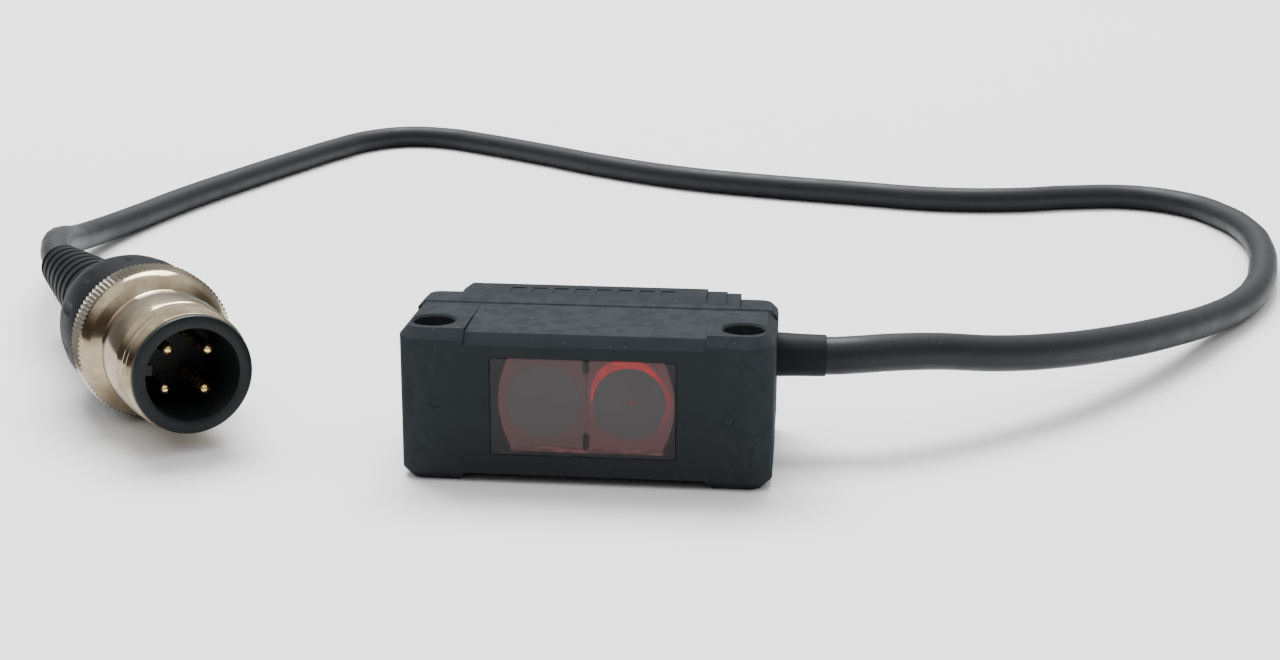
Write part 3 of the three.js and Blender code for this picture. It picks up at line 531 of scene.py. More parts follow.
def board_material():
    """Solder mask with faint tracks under it."""
    material, tree, shader = new_material("board_green", roughness=0.35)
    place = tree.nodes.new("ShaderNodeTexCoord").outputs["Object"]
    tracks = tree.nodes.new("ShaderNodeTexBrick")
    tracks.inputs["Scale"].default_value = 900.0
    tracks.inputs["Mortar Size"].default_value = 0.05
    tree.links.new(place, tracks.inputs["Vector"])
    color = mix_colors(tree, tracks.outputs["Fac"], (0.012, 0.09, 0.035), (0.03, 0.17, 0.07))
    tree.links.new(color, shader.inputs["Base Color"])
    add_bump(tree, shader, tracks.outputs["Fac"], 0.02 * MM)
    return material


PLUG_AXIS = (-math.sin(PLUG_TURN), math.cos(PLUG_TURN))
LENS_X = {side: LENS["centre"] + side * LENS["pitch"] / 2 for side in (-1, 1)}

# The edge colours lighten convex edges: partly rubbing wear, partly a painted edge highlight.
CASE_BLACK = moulded("case_black", (0.02, 0.0235, 0.0262), (0.0222, 0.026, 0.029), (0.6, 0.68),
                     edge=(0.029, 0.033, 0.037), lint=(0.08, 0.08, 0.08), specular=0.02)
SOFT_BLACK = moulded("soft_black", (0.0085, 0.0098, 0.011), (0.0105, 0.012, 0.0132), (0.52, 0.62),
                     grain=5000.0, specular=0.1)
CARRIER_BLACK = moulded("carrier_black", (0.0085, 0.0105, 0.0112), (0.0098, 0.012, 0.0128), (0.36, 0.46),
                        edge=(0.014, 0.017, 0.018), lint=(0.03, 0.03, 0.03), specular=0.16)
CABLE_BLACK = moulded("cable_black", (0.009, 0.0112, 0.0124), (0.0115, 0.0138, 0.015), (0.46, 0.56),
                      grain=4000.0, depth=0.006, lint=(0.05, 0.05, 0.05), specular=0.2)
PLUG_BLACK = moulded("plug_black", (0.0052, 0.0062, 0.0074), (0.0068, 0.008, 0.0092), (0.5, 0.6),
                     grain=5000.0, specular=0.06)
HOLDER_GREY = holder_material()
INNER_BLACK = moulded("inner_black", (0.008, 0.008, 0.009), (0.014, 0.014, 0.015), (0.6, 0.7))
CHIP_BLACK = moulded("chip_black", (0.012, 0.012, 0.013), (0.02, 0.02, 0.021), (0.4, 0.5))
SEAL_RUBBER = moulded("seal_rubber", (0.012, 0.012, 0.012), (0.024, 0.024, 0.024), (0.7, 0.85))
CONTROL_WHITE = moulded("control_white", (0.52, 0.51, 0.46), (0.62, 0.61, 0.56), (0.4, 0.5), depth=0.002)
TAN = moulded("capacitor_tan", (0.36, 0.2, 0.06), (0.46, 0.27, 0.09), (0.4, 0.5), depth=0.002)
INDICATOR_CLEAR = moulded("indicator_clear", (0.55, 0.58, 0.55), (0.66, 0.68, 0.66), (0.15, 0.22),
                          depth=0.001)
RED_LED = moulded("red_led", (0.5, 0.03, 0.03), (0.62, 0.06, 0.05), (0.15, 0.25), depth=0.001)
ORANGE_LED = moulded("orange_led", (0.7, 0.26, 0.03), (0.8, 0.34, 0.06), (0.15, 0.25), depth=0.001)
GREEN_LED = moulded("green_led", (0.08, 0.42, 0.1), (0.14, 0.52, 0.16), (0.15, 0.25), depth=0.001)
CORE_COLORS = {"brown": (0.13, 0.05, 0.02), "white": (0.7, 0.7, 0.68), "blue": (0.02, 0.08, 0.35),
               "black": (0.015, 0.015, 0.015)}
NICKEL = plated("nickel", (0.37, 0.313, 0.222), (0.235, 0.185, 0.118), (0.1, 0.18), PLUG_AXIS)
GOLD = plated("gold", (0.92, 0.68, 0.3), (0.84, 0.58, 0.22), (0.18, 0.3), PLUG_AXIS)
TIN = plated("tin_plate", (0.7, 0.7, 0.7), (0.55, 0.55, 0.55), (0.3, 0.45), (1.0, 0.0))
PANE = smoky_pane()
BOARD = board_material()
# Painted light for each lens moulding: every colour but disc and plate goes to emission; disc and plate are
# the moulding's own colour.
EMITTER_GLOW = lens_material(
    "emitter_moulding", LENS_X[1],
    red_light=(LENS_X[1], LENS["height"], 3.75),
    crescents=[(LENS_X[1] + 0.36, LENS["height"] + 0.3, 3.0), (LENS_X[1] - 0.2, LENS["height"] + 0.82, 3.0)],
    colors={
        "disc": (0.03, 0.029, 0.03), "disc_painted_light": (0.14, 0.128, 0.132),
        "plate": (0.04, 0.03, 0.03), "plate_painted_light": (0.27, 0.098, 0.103), "red_light_glow": (0.24, 0.09, 0.095),
        "crescents": [(0.75, 0.06, 0.065), (1.3, 0.075, 0.08)], "spark": (0.5, 0.06, 0.06),
    },
)
RECEIVER_GLOW = lens_material(
    "receiver_moulding", LENS_X[-1],
    red_light=(LENS["centre"] + PLATE["bow"] - PLATE["reach"], LENS["height"], PLATE["bow"] - 0.17),
    crescents=[(LENS_X[-1], LENS["height"], 0.1)],
    colors={
        "disc": (0.03, 0.029, 0.03), "disc_painted_light": (0.144, 0.129, 0.132),
        "plate": (0.04, 0.03, 0.03), "plate_painted_light": (0.215, 0.098, 0.101), "red_light_glow": (0.38, 0.085, 0.09),
        "crescents": [(0.2, 0.05, 0.05)], "spark": (0.4, 0.06, 0.06),
    },
)


def floor_material():
    material, tree, shader = new_material("pale_table", roughness=0.55, specular=0.3)
    place = tree.nodes.new("ShaderNodeTexCoord").outputs["Object"]
    cloud = add_ramp(tree, add_noise(tree, place, 6.0, detail=2.0), 0.3, 0.7)
    pale = mix_colors(tree, cloud, (0.84, 0.84, 0.843), (0.855, 0.855, 0.858))
    tree.links.new(pale, shader.inputs["Base Color"])
    return material


# ---------------------------------------------------------------- modelling helpers
def deselect():
    if bpy.context.mode != "OBJECT":
        bpy.ops.object.mode_set(mode="OBJECT")
    bpy.ops.object.select_all(action="DESELECT")


def hold(piece):
    """Only this piece is selected and active."""
    deselect()
    piece.select_set(True)
    bpy.context.view_layer.objects.active = piece


def apply_place(piece, place=None):
    """Puts a piece at a place and takes that place into its mesh."""
    hold(piece)
    if place is not None:
        piece.matrix_world = place
    bpy.ops.object.transform_apply(location=True, rotation=True, scale=True)
    return piece


def block(name, x_span, y_span, z_span):
    deselect()
    spans = (x_span, y_span, z_span)
    bpy.ops.mesh.primitive_cube_add(size=1, location=[sum(span) / 2 for span in spans])
    piece = bpy.context.object
    piece.name = name
    piece.scale = [high - low for low, high in spans]
    return apply_place(piece)


# Turns a piece drawn about +Z so that it points along another axis.
ALONG = {
    "X": Matrix.Rotation(math.pi / 2, 4, "Y"),
    "Y": Matrix.Rotation(-math.pi / 2, 4, "X"),
    "Z": Matrix.Identity(4),
}


def rings(name, profile, sides=64, solid=True):
    """Draws a circle up through (radius, height) pairs, about +Z; if not solid, it closes on itself."""
    deselect()
    radius, height = profile[0]
    bpy.ops.mesh.primitive_circle_add(
        vertices=sides, radius=radius, fill_type="NGON" if solid else "NOTHING",
        location=(0, 0, height), enter_editmode=True,
    )
    piece = bpy.context.object
    piece.name = name
    for next_radius, next_height in profile[1:] + ([] if solid else profile[:1]):
        bpy.ops.mesh.extrude_region_move(TRANSFORM_OT_translate={"value": (0, 0, next_height - height)})
        share = next_radius / radius
        bpy.ops.transform.resize(value=(share, share, 1), center_override=(0, 0, next_height))
        radius, height = next_radius, next_height
    bpy.ops.object.mode_set(mode="OBJECT")
    apply_place(piece)
    return clean(piece)


def bar(name, radius, span, centre, axis="Z", sides=48, end_radius=None):
    """Round bar or cone along an axis; centre is a point on that axis."""
    tip = radius if end_radius is None else end_radius
    piece = rings(name, [(radius, span[0]), (tip, span[1])], sides)
    return apply_place(piece, Matrix.Translation(centre) @ ALONG[axis])


def edit(piece, kind, chosen):
    """Opens a piece for editing with only the chosen faces, edges or vertices selected."""
    hold(piece)
    mesh = piece.data
    bpy.ops.object.mode_set(mode="EDIT")
    bpy.ops.mesh.select_mode(type=kind)
    bpy.ops.mesh.select_all(action="DESELECT")
    bpy.ops.object.mode_set(mode="OBJECT")
    items = {"VERT": mesh.vertices, "EDGE": mesh.edges, "FACE": mesh.polygons}[kind]
    for item in items:
        item.select = chosen(item)
    bpy.ops.object.mode_set(mode="EDIT")


def close_edit(piece):
    bpy.ops.object.mode_set(mode="OBJECT")
    return piece


def clean(piece):
    """Merges doubles and turns every face outwards."""
    edit(piece, "VERT", lambda vertex: True)
    bpy.ops.mesh.remove_doubles(threshold=0.0005)
    bpy.ops.mesh.normals_make_consistent(inside=False)
    return close_edit(piece)


def bevel_edges(piece, chosen, width, segments=1):
    """Bevels the edges whose two end points pass the test."""
    points = piece.data.vertices
    edit(piece, "EDGE", lambda item: chosen(*(points[index].co for index in item.vertices)))
    bpy.ops.mesh.bevel(offset=width, segments=segments, profile=0.5, affect="EDGES", clamp_overlap=True)
    return close_edit(piece)


def near(value, target):
    return abs(value - target) < 0.002


def combine(piece, tool, operation="DIFFERENCE"):
    """Boolean of a piece with a tool, which is then gone."""
    hold(piece)
    modifier = piece.modifiers.new("boolean", "BOOLEAN")
    modifier.operation = operation
    modifier.solver = "EXACT"
    modifier.object = tool
    bpy.ops.object.modifier_apply(modifier=modifier.name)
    bpy.data.objects.remove(tool, do_unlink=True)
    return piece


def duplicate(piece, name, shift):
    """Copy with its own mesh, moved by a shift."""
    hold(piece)
    bpy.ops.object.duplicate(linked=False)
    twin = bpy.context.object
    twin.name = name
    return apply_place(twin, Matrix.Translation(shift))


def settle(piece, body, material, slot, *nodes, smooth=35):
    """Brings a finished piece to metres, gives it its finish and lets it ride on its body."""
    apply_place(piece, Matrix.Scale(MM, 4))
    bpy.ops.object.shade_smooth_by_angle(angle=math.radians(smooth))
    piece.data.materials.clear()
    piece.data.materials.append(material)
    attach(piece, body)
    if nodes:
        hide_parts(*nodes)
    return piece


# ---------------------------------------------------------------- case
def foot_gap(y_span):
    """Space under the case between its feet, with a ramp at each side."""
    wide = PAD_INNER + 2 * FOOT_RAMP
    tool = block("foot_gap", (-wide, wide), y_span, (-FOOT_HEIGHT, FOOT_HEIGHT))
    edit(tool, "FACE", lambda face: face.normal.z > 0.9)
    share = PAD_INNER / wide
    bpy.ops.transform.resize(value=(share, 1, 1), center_override=(0, 0, 0))
    return close_edit(tool)


def is_upright(a, b):
    return not near(a.z, b.z)


def on_level(a, b, level):
    return near(a.z, level) and near(b.z, level)


def case_block(name, y_span, z_span, corner_y, corner, edge, open_y):
    """Block as wide as the case: round corners at one end, softened rims except at the open end."""
    piece = block(name, (-HALF_WIDTH, HALF_WIDTH), y_span, z_span)
    bevel_edges(
        piece,
        lambda a, b: is_upright(a, b) and near(a.y, corner_y) and near(b.y, corner_y),
        corner,
        8,
    )
    for level in z_span:
        bevel_edges(
            piece,
            lambda a, b: on_level(a, b, level) and not (near(a.y, open_y) and near(b.y, open_y)),
            edge,
        )
    return piece


def round_mark(piece, x, z, radius):
    """Shallow ring left on the front face by an ejector pin."""
    outer = bar("mark", radius, (FRONT - 1, FRONT + 0.04), (x, 0, z), "Y", 32)
    core = bar("mark_core", radius - 0.1, (FRONT - 2, FRONT + 1), (x, 0, z), "Y", 32)
    combine(outer, core)
    return combine(piece, outer)


def top_sink():
    """Tools for the space between the pads: a floor that falls towards the front, and its front chamfer."""
    floor = TOP - TOP_RECESS
    sink = block("sink_floor", (-PAD_INNER, PAD_INNER), (FRONT - 1, PARTING), (floor, TOP + 1))
    edit(sink, "EDGE", lambda item: all(
        near(sink.data.vertices[index].co.y, PARTING) and near(sink.data.vertices[index].co.z, floor)
        for index in item.vertices))
    bpy.ops.transform.translate(value=(0, 0, TOP_RECESS))
    close_edit(sink)
    half = 2.0
    slope = block("sink_chamfer", (-PAD_INNER, PAD_INNER), (-half, half), (-half, half))
    lean = half / math.sqrt(2)
    middle = (0, FRONT + TOP_CHAMFER / 2 - lean, floor - TOP_CHAMFER / 2 + lean)
    apply_place(slope, Matrix.Translation(middle) @ Matrix.Rotation(math.radians(45), 4, "X"))
    return sink, slope


def make_front_housing():
    shell = case_block("front_shell", (FRONT, PARTING), (0, TOP), FRONT, FRONT_CORNER, TOP_CHAMFER, PARTING)
    bevel_edges(
        shell,
        lambda a, b: on_level(a, b, TOP) and near(a.y, PARTING) and near(b.y, PARTING),
        PARTING_EDGE["front"],
    )
    for tool in top_sink():
        combine(shell, tool)
    combine(shell, foot_gap((FRONT - 1, PARTING + 1)))
    combine(shell, block("hollow", (-FRONT_HOLLOW["half"], FRONT_HOLLOW["half"]), (FRONT + WALL, PARTING + 1),
                         (FRONT_HOLLOW["low"], FRONT_HOLLOW["high"])))
    opening = block("opening", (OPENING["left"], OPENING["right"]), (FRONT - 1, FRONT + WALL + 1),
                    (OPENING["low"], OPENING["high"]))
    combine(shell, opening)
    for side in (-1, 1):
        spot = (side * MOUNT["pitch"] / 2, FRONT + MOUNT["setback"], 0)
        combine(shell, bar("hole", MOUNT["radius"], (-1, TOP + 1), spot))
        inside, outside = HOLE_FLARE["inside"], HOLE_FLARE["outside"]
        for level, end in ((TOP - inside, TOP + outside), (inside, -outside)):
            flare = MOUNT["radius"] + HOLE_FLARE["wider"]
            rim = (MOUNT["radius"], flare) if end > level else (flare, MOUNT["radius"])
            span = (min(level, end), max(level, end))
            combine(shell, bar("hole_rim", rim[0], span, spot, end_radius=rim[1]))
    for x, z, radius in EJECTOR_MARKS:
        round_mark(shell, x, z, radius)
    return settle(shell, "sensor", CASE_BLACK, "case_black", "front_housing")


def raised_strip():
    """Strip on the rear cover's top: sloped front, ramp at one end, steps at the other, row of pockets."""
    left, right = STRIP["left"], STRIP["right"]
    strip = block("strip", (left - STRIP["ramp"], right), (STRIP["start"], STRIP["end"]), (TOP - 0.8, TOP))
    edit(strip, "FACE", lambda face: face.normal.z > 0.9)
    bpy.ops.mesh.extrude_region_move(TRANSFORM_OT_translate={"value": (0, 0, STRIP_TOP - TOP)})
    share = (right - left) / (right - left + STRIP["ramp"])
    bpy.ops.transform.resize(value=(share, 1, 1), center_override=(right, 0, 0))
    depth = STRIP["end"] - STRIP["start"]
    share = (depth - STRIP_SLOPE) / depth
    bpy.ops.transform.resize(value=(1, share, 1), center_override=(0, STRIP["end"], 0))
    close_edit(strip)
    for start, drop in STRIP_STEPS:
        combine(strip, block("step", (start, right + 1), (STRIP["start"] - 1, STRIP["end"] + 1),
                             (STRIP_TOP - drop, STRIP_TOP + 1)))
    for index in range(POCKET["count"]):
        middle = POCKET["middle"] + (index - (POCKET["count"] - 1) / 2) * POCKET["pitch"]
        across = (middle - POCKET["half"], middle + POCKET["half"])
        cut_out = (STRIP_TOP - POCKET["depth"], STRIP_TOP + 1)
        combine(strip, block("pocket", across, (POCKET["start"], POCKET["end"]), cut_out))
    return strip


def scale_marks(piece, x, turn_limit, count):
    """Short grooves round a control hole, evenly spaced between its limits."""
    for index in range(count):
        angle = math.radians(-turn_limit + 2 * turn_limit * index / (count - 1))
        groove = block("tick", (-0.1, 0.1), (REAR - 0.1, REAR + 1), (2.45, 3.1))
        spin = Matrix.Translation((x, 0, CONTROL["height"])) @ Matrix.Rotation(angle, 4, "Y")
        combine(piece, apply_place(groove, spin))
    return piece


def make_rear_cover():
    start = PARTING + CLEARANCE
    shell = case_block("rear_shell", (start, SHOULDER), (0, TOP), SHOULDER, REAR_CORNER, SHOULDER_EDGE, start)
    bevel_edges(
        shell,
        lambda a, b: on_level(a, b, TOP) and near(a.y, start) and near(b.y, start),
        PARTING_EDGE["rear"],
    )
    back = case_block(
        "back_block", (start + 1, REAR), (BACK["low"], BACK["high"]),
        REAR, REAR_CORNER, BACK["edge"], start + 1,
    )
    combine(shell, back, "UNION")
    combine(shell, raised_strip(), "UNION")
    combine(shell, foot_gap((start - 1, REAR + 1)))
    inner_back = REAR - WALL
    combine(shell, block("hollow", (-REAR_HOLLOW["half"], REAR_HOLLOW["half"]), (start - 1, inner_back),
                         (REAR_HOLLOW["low"], REAR_HOLLOW["high"])))
    for x in (ADJUSTER_X, SELECTOR_X):
        middle = (x, 0, CONTROL["height"])
        combine(shell, bar("control_hole", CONTROL["hole"], (inner_back - 1, REAR + 1), middle, "Y"))
        combine(shell, bar("control_rim", CONTROL["hole"], (REAR - 0.2, REAR + 0.2), middle, "Y",
                           end_radius=CONTROL["hole"] + CONTROL["rim"]))
    scale_marks(shell, ADJUSTER_X, 120, 9)
    scale_marks(shell, SELECTOR_X, 90, 3)
    half = INDICATOR["half"] + CLEARANCE
    tall = INDICATOR["tall"] + CLEARANCE
    across = (INDICATOR["x"] - half, INDICATOR["x"] + half)
    upright = (CONTROL["height"] - tall, CONTROL["height"] + tall)
    combine(shell, block("indicator_hole", across, (inner_back - 1, REAR + 1), upright))
    combine(shell, bar("cable_hole", CABLE_HOLE, (HALF_WIDTH - 2, HALF_WIDTH + 2), (0, *EXIT), "X"))
    return settle(shell, "sensor", CASE_BLACK, "case_black", "rear_cover")


def make_window():
    lip = 0.03
    overlap = 0.01
    seat = FRONT + WALL + CLEARANCE
    across = (OPENING["left"] + CLEARANCE, OPENING["right"] - CLEARANCE)
    upright = (OPENING["low"] + CLEARANCE, OPENING["high"] - CLEARANCE)
    pane = block("window_pane", across, (WINDOW_LOW[1], seat), upright)
    bevel_edges(pane, lambda a, b: near(a.y, WINDOW_LOW[1]) and near(b.y, WINDOW_LOW[1]), lip, 1)
    flange = block("window_flange", (WINDOW_LOW[0], WINDOW_HIGH[0]), (seat - overlap, WINDOW_HIGH[1]),
                   (WINDOW_LOW[2], WINDOW_HIGH[2]))
    combine(pane, flange, "UNION")
    return settle(pane, "sensor", PANE, "smoky_window", "front_window")


def make_lens(side, name, material, slot, node):
    """One half of the double lens: a plate with a bowed outer side and a notch at each end, and its dome."""
    middle = LENS["centre"]
    height = LENS["height"]
    across = sorted((middle + side * PLATE["gap"], middle + side * PLATE["reach"]))
    upright = (height - PLATE["half"], height + PLATE["half"])
    through = (LENS_FRONT - 1, LENS_FRONT + 2)
    plate = block(name, across, (LENS_FRONT, LENS_FRONT + PLATE["deep"]), upright)
    bow_middle = (middle + side * (PLATE["reach"] - PLATE["bow"]), 0, height)
    bow = bar("bow", PLATE["bow"], through, bow_middle, "Y", 160)
    combine(plate, bow, "INTERSECT")
    for end in (-1, 1):
        deepest = height + end * (PLATE["half"] - PLATE["notch"])
        notch_z = sorted((deepest, height + end * (PLATE["half"] + 1)))
        notch = block("notch", (middle - PLATE["slot"], middle + PLATE["slot"]), through, notch_z)
        combine(plate, notch)
    steps = 10
    profile = [(LENS["radius"], 0.3)]
    for step in range(steps):
        share = 1 - step / steps
        profile.append((LENS["radius"] * share, -LENS["dome"] * (1 - share * share)))
    dome = rings("dome", profile, 72)
    apply_place(dome, Matrix.Translation((LENS_X[side], LENS_FRONT, height)) @ ALONG["Y"])
    combine(plate, dome, "UNION")
    return settle(plate, "sensor", material, slot, node)


def make_indicator_lens():
    low, high = node_box("indicator_lens")
    x, half, tall = INDICATOR["x"], INDICATOR["half"], INDICATOR["tall"]
    inner_back = REAR - WALL
    lens = block("indicator_window", (x - half, x + half), (inner_back - 0.4, REAR),
                 (CONTROL["height"] - tall, CONTROL["height"] + tall))
    bevel_edges(lens, lambda a, b: near(a.y, REAR) and near(b.y, REAR), 0.15, 3)
    stop = block("stop", (low[0], high[0]), (low[1], inner_back - CLEARANCE), (low[2], high[2]))
    combine(lens, stop, "UNION")
    return settle(lens, "sensor", INDICATOR_CLEAR, "indicator_clear", "indicator_lens")


# ---------------------------------------------------------------- controls
def make_rotor(name, body, x, slots):
    """Round trimmer knob with an O-ring groove, a dished face, screwdriver slots and a pointer dimple."""
    low, high = node_box(body)
    radius = (high[0] - low[0]) / 2
    neck, edge, face = ROTOR["neck"], ROTOR["edge"], high[1]
    groove_start = REAR - WALL + ROTOR["groove_start"]
    groove_end = REAR - WALL + ROTOR["groove_end"]
    knob = rings(name, [
        (radius, low[1]), (radius, groove_start), (neck, groove_start), (neck, groove_end),
        (radius, groove_end), (radius, face - edge), (radius - edge, face), (radius - 0.4, face),
        (radius - 0.5, face - 0.08),
    ], 72)
    apply_place(knob, Matrix.Translation((x, 0, CONTROL["height"])) @ ALONG["Y"])
    for across_x, across_z in slots:
        tool = block("driver_slot", (x - across_x / 2, x + across_x / 2), (face - BLADE["depth"], face + 1),
                     (CONTROL["height"] - across_z / 2, CONTROL["height"] + across_z / 2))
        combine(knob, tool)
    pointer_middle = (x, 0, CONTROL["height"] + ROTOR["pointer"])
    combine(knob, bar("pointer", 0.2, (face - 0.2, face + 1), pointer_middle, "Y", 16))
    return settle(knob, body, CONTROL_WHITE, "control_white", body)


# ---------------------------------------------------------------- cable
def make_cable():
    """Round cable along its route, as one smooth open curve."""
    curve = bpy.data.curves.new("cable_line", "CURVE")
    curve.dimensions = "3D"
    curve.bevel_depth = CABLE_RADIUS * MM
    curve.bevel_resolution = 6
    curve.resolution_u = 8
    curve.use_fill_caps = True
    line = curve.splines.new("BEZIER")
    line.bezier_points.add(len(ROUTE) - 1)
    for knot, point in zip(line.bezier_points, ROUTE):
        knot.co = Vector(point) * MM
        knot.handle_left_type = "AUTO"
        knot.handle_right_type = "AUTO"
    cable = bpy.data.objects.new("cable_jacket", curve)
    bpy.context.scene.collection.objects.link(cable)
    curve.materials.append(CABLE_BLACK)
    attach(cable, "sensor")
    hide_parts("cable")
    return cable


def make_bushing():
    """Strain relief: a barrel held in the case wall, then a tapered sleeve whose mouth takes the cable."""
    mouth = CABLE_RADIUS + 0.02
    body, neck, flange, end = (BUSHING[part] for part in ("body", "neck", "flange", "end"))
    neck_start, neck_end = BUSHING["neck_start"], BUSHING["neck_end"]
    profile = [
        (mouth, CABLE_START), (mouth, end - 0.04), (mouth + 0.03, end), (body - 0.14, end - 0.02),
        (body - 0.1, end - 0.2), (body - 0.06, end - 2.3), (body - 0.02, HALF_WIDTH + 0.7),
        (body, HALF_WIDTH + 0.3), (body, neck_end), (neck, neck_end), (neck, neck_start),
        (flange, neck_start), (flange, BUSHING["start"]),
    ]
    sleeve = rings("strain_relief", profile, 48)
    apply_place(sleeve, Matrix.Translation((0, *EXIT)) @ ALONG["X"])
    return settle(sleeve, "sensor", SOFT_BLACK, "soft_black", "cable_bushing")


# ---------------------------------------------------------------- plug
# Plug pieces are drawn about +Z with their mating face at height 0, then turned into place.
PLUG_STAND = (
    Matrix.Translation(PLUG_PLACE)
    @ Matrix.Rotation(PLUG_TURN, 4, "Z")
    @ Matrix.Rotation(PLUG_ROLL, 4, "Y")
    @ ALONG["Y"]
)


def make_carrier():
    """Contact carrier: a cup with a coding key, and a floor with holes for the contacts."""
    outer, cavity, lip, lip_end = (CARRIER[part] for part in ("radius", "cavity", "lip", "lip_end"))
    rim = 0.22
    cup = rings("contact_cup", [
        (outer, CARRIER["length"]), (outer, lip_end), (lip, lip_end), (lip, rim), (lip - 0.07, 0.07),
        (lip - rim, 0), (cavity + 0.3, 0), (cavity + 0.08, 0.1), (cavity, 0.4), (cavity, CARRIER["deep"]),
    ], 96)
    key = block("coding_key", (-cavity - 0.3, -cavity + KEY["reach"]), (-KEY["half"], KEY["half"]),
                (KEY["start"], CARRIER["deep"] + 0.5))
    bevel_edges(key, lambda a, b: max(a.x, b.x) > -cavity and near(a.x, b.x), 0.2, 3)
    combine(cup, key, "UNION")
    through = (CARRIER["deep"] - 1, CARRIER["length"] + 1)
    for x, y in pin_places():
        combine(cup, bar("contact_hole", PIN["radius"] + CLEARANCE, through, (x, y, 0), sides=24))
    apply_place(cup, PLUG_STAND)
    return settle(cup, "sensor", CARRIER_BLACK, "carrier_black", "contact_carrier")


def pin_places():
    reach = PIN["circle"] / math.sqrt(2)
    return [(-reach, reach), (reach, reach), (reach, -reach), (-reach, -reach)]


def make_pins():
    """Four round-nosed contacts, drawn once and copied."""
    radius, start = PIN["radius"], PIN["start"]
    steps = 6
    profile = [(radius, PIN["end"])]
    for step in range(steps + 1):
        angle = math.pi / 2 * step / steps
        profile.append((max(radius * math.cos(angle), 0.04), start + radius * (1 - math.sin(angle))))
    first = rings("contact", profile, 32)
    pins = []
    for index, (x, y) in enumerate(pin_places()):
        pin = duplicate(first, f"contact_{index + 1}", (x, y, 0))
        apply_place(pin, PLUG_STAND)
        pins.append(settle(pin, "sensor", GOLD, "gold", nearest_pin(pin)))
    bpy.data.objects.remove(first, do_unlink=True)
    return pins


def nearest_pin(piece):
    """The CAD contact whose middle is nearest to this piece's middle, both in millimetres."""
    middle = sum((vertex.co for vertex in piece.data.vertices), Vector()) / len(piece.data.vertices)

    def distance(name):
        low, high = node_box(name)
        return ((Vector(low) + Vector(high)) / 2 - middle).length

    return min((f"contact_pin_{index}" for index in range(1, 5)), key=distance)


def make_nut():
    """Coupling nut: threads, plain sleeve, groove, flange and a knurled band; the bore is open."""
    radius, sleeve, thread, root = NUT["radius"], NUT["sleeve"], NUT["thread"], NUT["root"]
    bore, rear_bore = NUT["bore"], NUT["rear_bore"]
    front, thread_end, groove = (NUT_SPAN[part] for part in ("front", "thread_end", "groove"))
    flange, knurl, seat, rear = (NUT_SPAN[part] for part in ("flange", "knurl", "seat", "rear"))
    profile = [(bore, front), (root - 0.1, front), (root, front + 0.1)]
    turn = front + 0.2
    while turn + THREAD_PITCH <= thread_end:
        profile += [(root, turn), (thread, turn + 0.36), (thread, turn + 0.46), (root, turn + 0.82)]
        turn += THREAD_PITCH
    band = radius - 0.18
    profile += [
        (root, thread_end + 0.1), (sleeve - 0.1, thread_end + 0.4), (sleeve, thread_end + 0.6),
        (sleeve, groove - 0.15), (sleeve - 0.1, groove), (root + 0.05, groove + 0.2),
        (root, groove + 0.4), (root, flange - 0.8), (root + 0.15, flange - 0.5),
        (radius - 0.85, flange - 0.1), (radius - 0.72, flange), (band - 0.02, knurl - 0.15),
        (band, knurl), (radius, knurl + 0.05), (radius, rear - 0.35), (band, rear - 0.25),
        (band - 0.2, rear), (rear_bore + 0.1, rear), (rear_bore, rear - 0.1),
        (rear_bore, seat), (bore, seat),
    ]
    nut = rings("threaded_nut", profile, 2 * KNURL_COUNT, solid=False)
    step = math.pi / KNURL_COUNT

    def in_valley(vertex):
        """Every second column of points on the knurled band."""
        around = round(math.atan2(vertex.co.y, vertex.co.x) / step)
        return around % 2 == 1 and near(math.hypot(vertex.co.x, vertex.co.y), radius)

    edit(nut, "VERT", in_valley)
    share = band / radius
    bpy.ops.transform.resize(value=(share, share, 1), center_override=(0, 0, 0))
    close_edit(nut)
    apply_place(nut, PLUG_STAND)
    return settle(nut, "coupling_nut", NICKEL, "nickel", "coupling_nut", smooth=28)


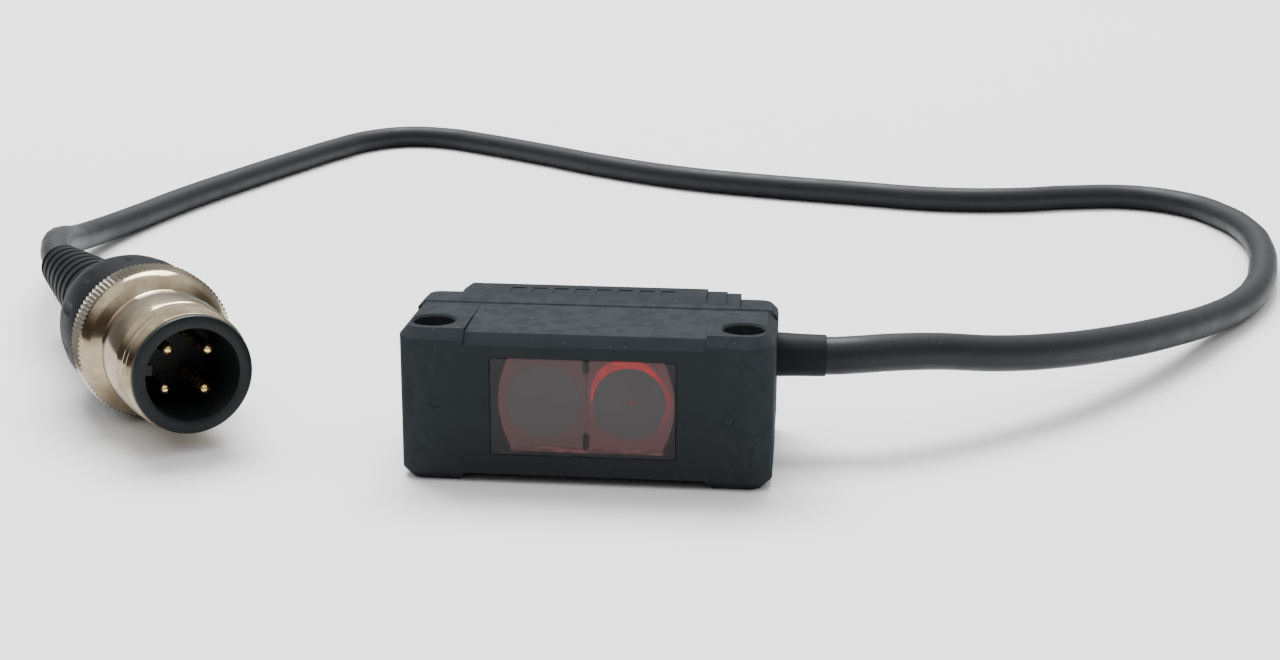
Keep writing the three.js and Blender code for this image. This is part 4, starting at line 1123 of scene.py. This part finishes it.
def make_plug_body():
    """Moulded body: collar inside the nut, fluted grip, neck and a ribbed tapering tail."""
    collar = NUT["rear_bore"] - PLUG_GAP
    collar_front = NUT_SPAN["seat"] + PLUG_GAP
    grip = NUT_SPAN["rear"] + PLUG_GAP
    pocket = CARRIER["radius"] + 2 * CLEARANCE
    full, neck, tail, neck_start = (GRIP[part] for part in ("radius", "neck", "tail", "neck_start"))
    profile = [
        (pocket, GRIP["pocket_end"]), (pocket, collar_front), (collar, collar_front), (collar, grip),
        (full - 0.25, grip), (full - 0.08, grip + 0.15), (full, grip + 0.8), (full, grip + 2.4),
        (full - 0.05, grip + 4.2), (full - 0.28, grip + 5.8), (full - 0.62, grip + 7.2),
        (full - 1.1, grip + 8.8), (full - 1.65, grip + 10.2), (neck + 0.45, neck_start - 1.2),
        (neck, neck_start),
    ]
    ribs = 7
    start = neck_start + 0.8
    pitch = (PLUG_LENGTH - 0.6 - start) / ribs
    for index in range(ribs):
        at = start + index * pitch
        outer = neck - 0.05 + (tail - neck) * (at - start) / (PLUG_LENGTH - start)
        profile += [(outer, at), (outer - 0.1, at + 0.55 * pitch), (outer - 0.42, at + 0.62 * pitch),
                    (outer - 0.47, at + 0.9 * pitch)]
    profile += [(tail, PLUG_LENGTH - 0.5), (tail - 0.05, PLUG_LENGTH - 0.15), (tail - 0.25, PLUG_LENGTH)]
    body = rings("plug_grip", profile, 120)
    flutes = 12
    tip, wide = 0.2, 1.05
    reach = full + 0.85
    for index in range(flutes):
        angle = 2 * math.pi * (index + 0.5) / flutes
        spot = (reach * math.cos(angle), reach * math.sin(angle), 0)
        outline = [(tip, grip + 1.2), (wide, grip + 2.2), (wide, grip + 7.4), (tip, grip + 9.4)]
        combine(body, apply_place(rings("flute", outline, 24), Matrix.Translation(spot)))
    apply_place(body, PLUG_STAND)
    return settle(body, "sensor", PLUG_BLACK, "plug_black", "plug_body")


# ---------------------------------------------------------------- inner parts
def finish_inner_parts():
    """Finishes for the parts that keep their CAD shape inside the case."""
    finishes = {
        "case_seal": SEAL_RUBBER, "lens_holder": HOLDER_GREY, "light_baffle": INNER_BLACK,
        "emitter_led": RED_LED, "receiver_chip": CHIP_BLACK, "optics_board": BOARD,
        "board_connector": CHIP_BLACK, "main_board": BOARD, "signal_ic": CHIP_BLACK,
        "output_transistor": CHIP_BLACK, "filter_capacitor": TIN, "supply_capacitor": TAN,
        "output_led": ORANGE_LED, "stability_led": GREEN_LED, "adjuster_base": TAN,
        "adjuster_o_ring": SEAL_RUBBER, "selector_base": TAN, "selector_o_ring": SEAL_RUBBER,
        "cable_clamp": TIN,
    }
    for color, tone in CORE_COLORS.items():
        lighter = tuple(min(1.0, part * 1.25 + 0.004) for part in tone)
        name = f"core_{color}"
        finishes[name] = moulded(name, tone, lighter, (0.4, 0.5), grain=6000.0, depth=0.002)
    for name, material in finishes.items():
        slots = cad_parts[name].material_slots
        for slot in slots:
            slot.material = material


def make_floor():
    deselect()
    bpy.ops.mesh.primitive_plane_add(size=5, location=(0, 0.5, 0))
    floor = bpy.context.object
    floor.name = "table_top"
    apply_place(floor)
    floor.data.materials.append(floor_material())


# ---------------------------------------------------------------- making
make_camera()
cable = make_cable()
relief = make_bushing()
plug_pieces = [make_plug_body(), make_nut(), make_carrier(), *make_pins()]
make_front_housing()
make_rear_cover()
make_window()
make_lens(-1, "receiver_half", RECEIVER_GLOW, "lens_clear", "receiver_lens")
make_lens(1, "emitter_half", EMITTER_GLOW, "lens_clear", "emitter_lens")
make_indicator_lens()
cross_slots = [(BLADE["cross"], BLADE["width"]), (BLADE["width"], BLADE["cross"])]
make_rotor("adjuster_knob", "sensitivity_adjuster", ADJUSTER_X, cross_slots)
make_rotor("selector_knob", "mode_selector", SELECTOR_X, [(BLADE["width"], BLADE["long"])])
finish_inner_parts()
make_floor()
make_world()
for lamp in LAMPS:
    make_light(*lamp)
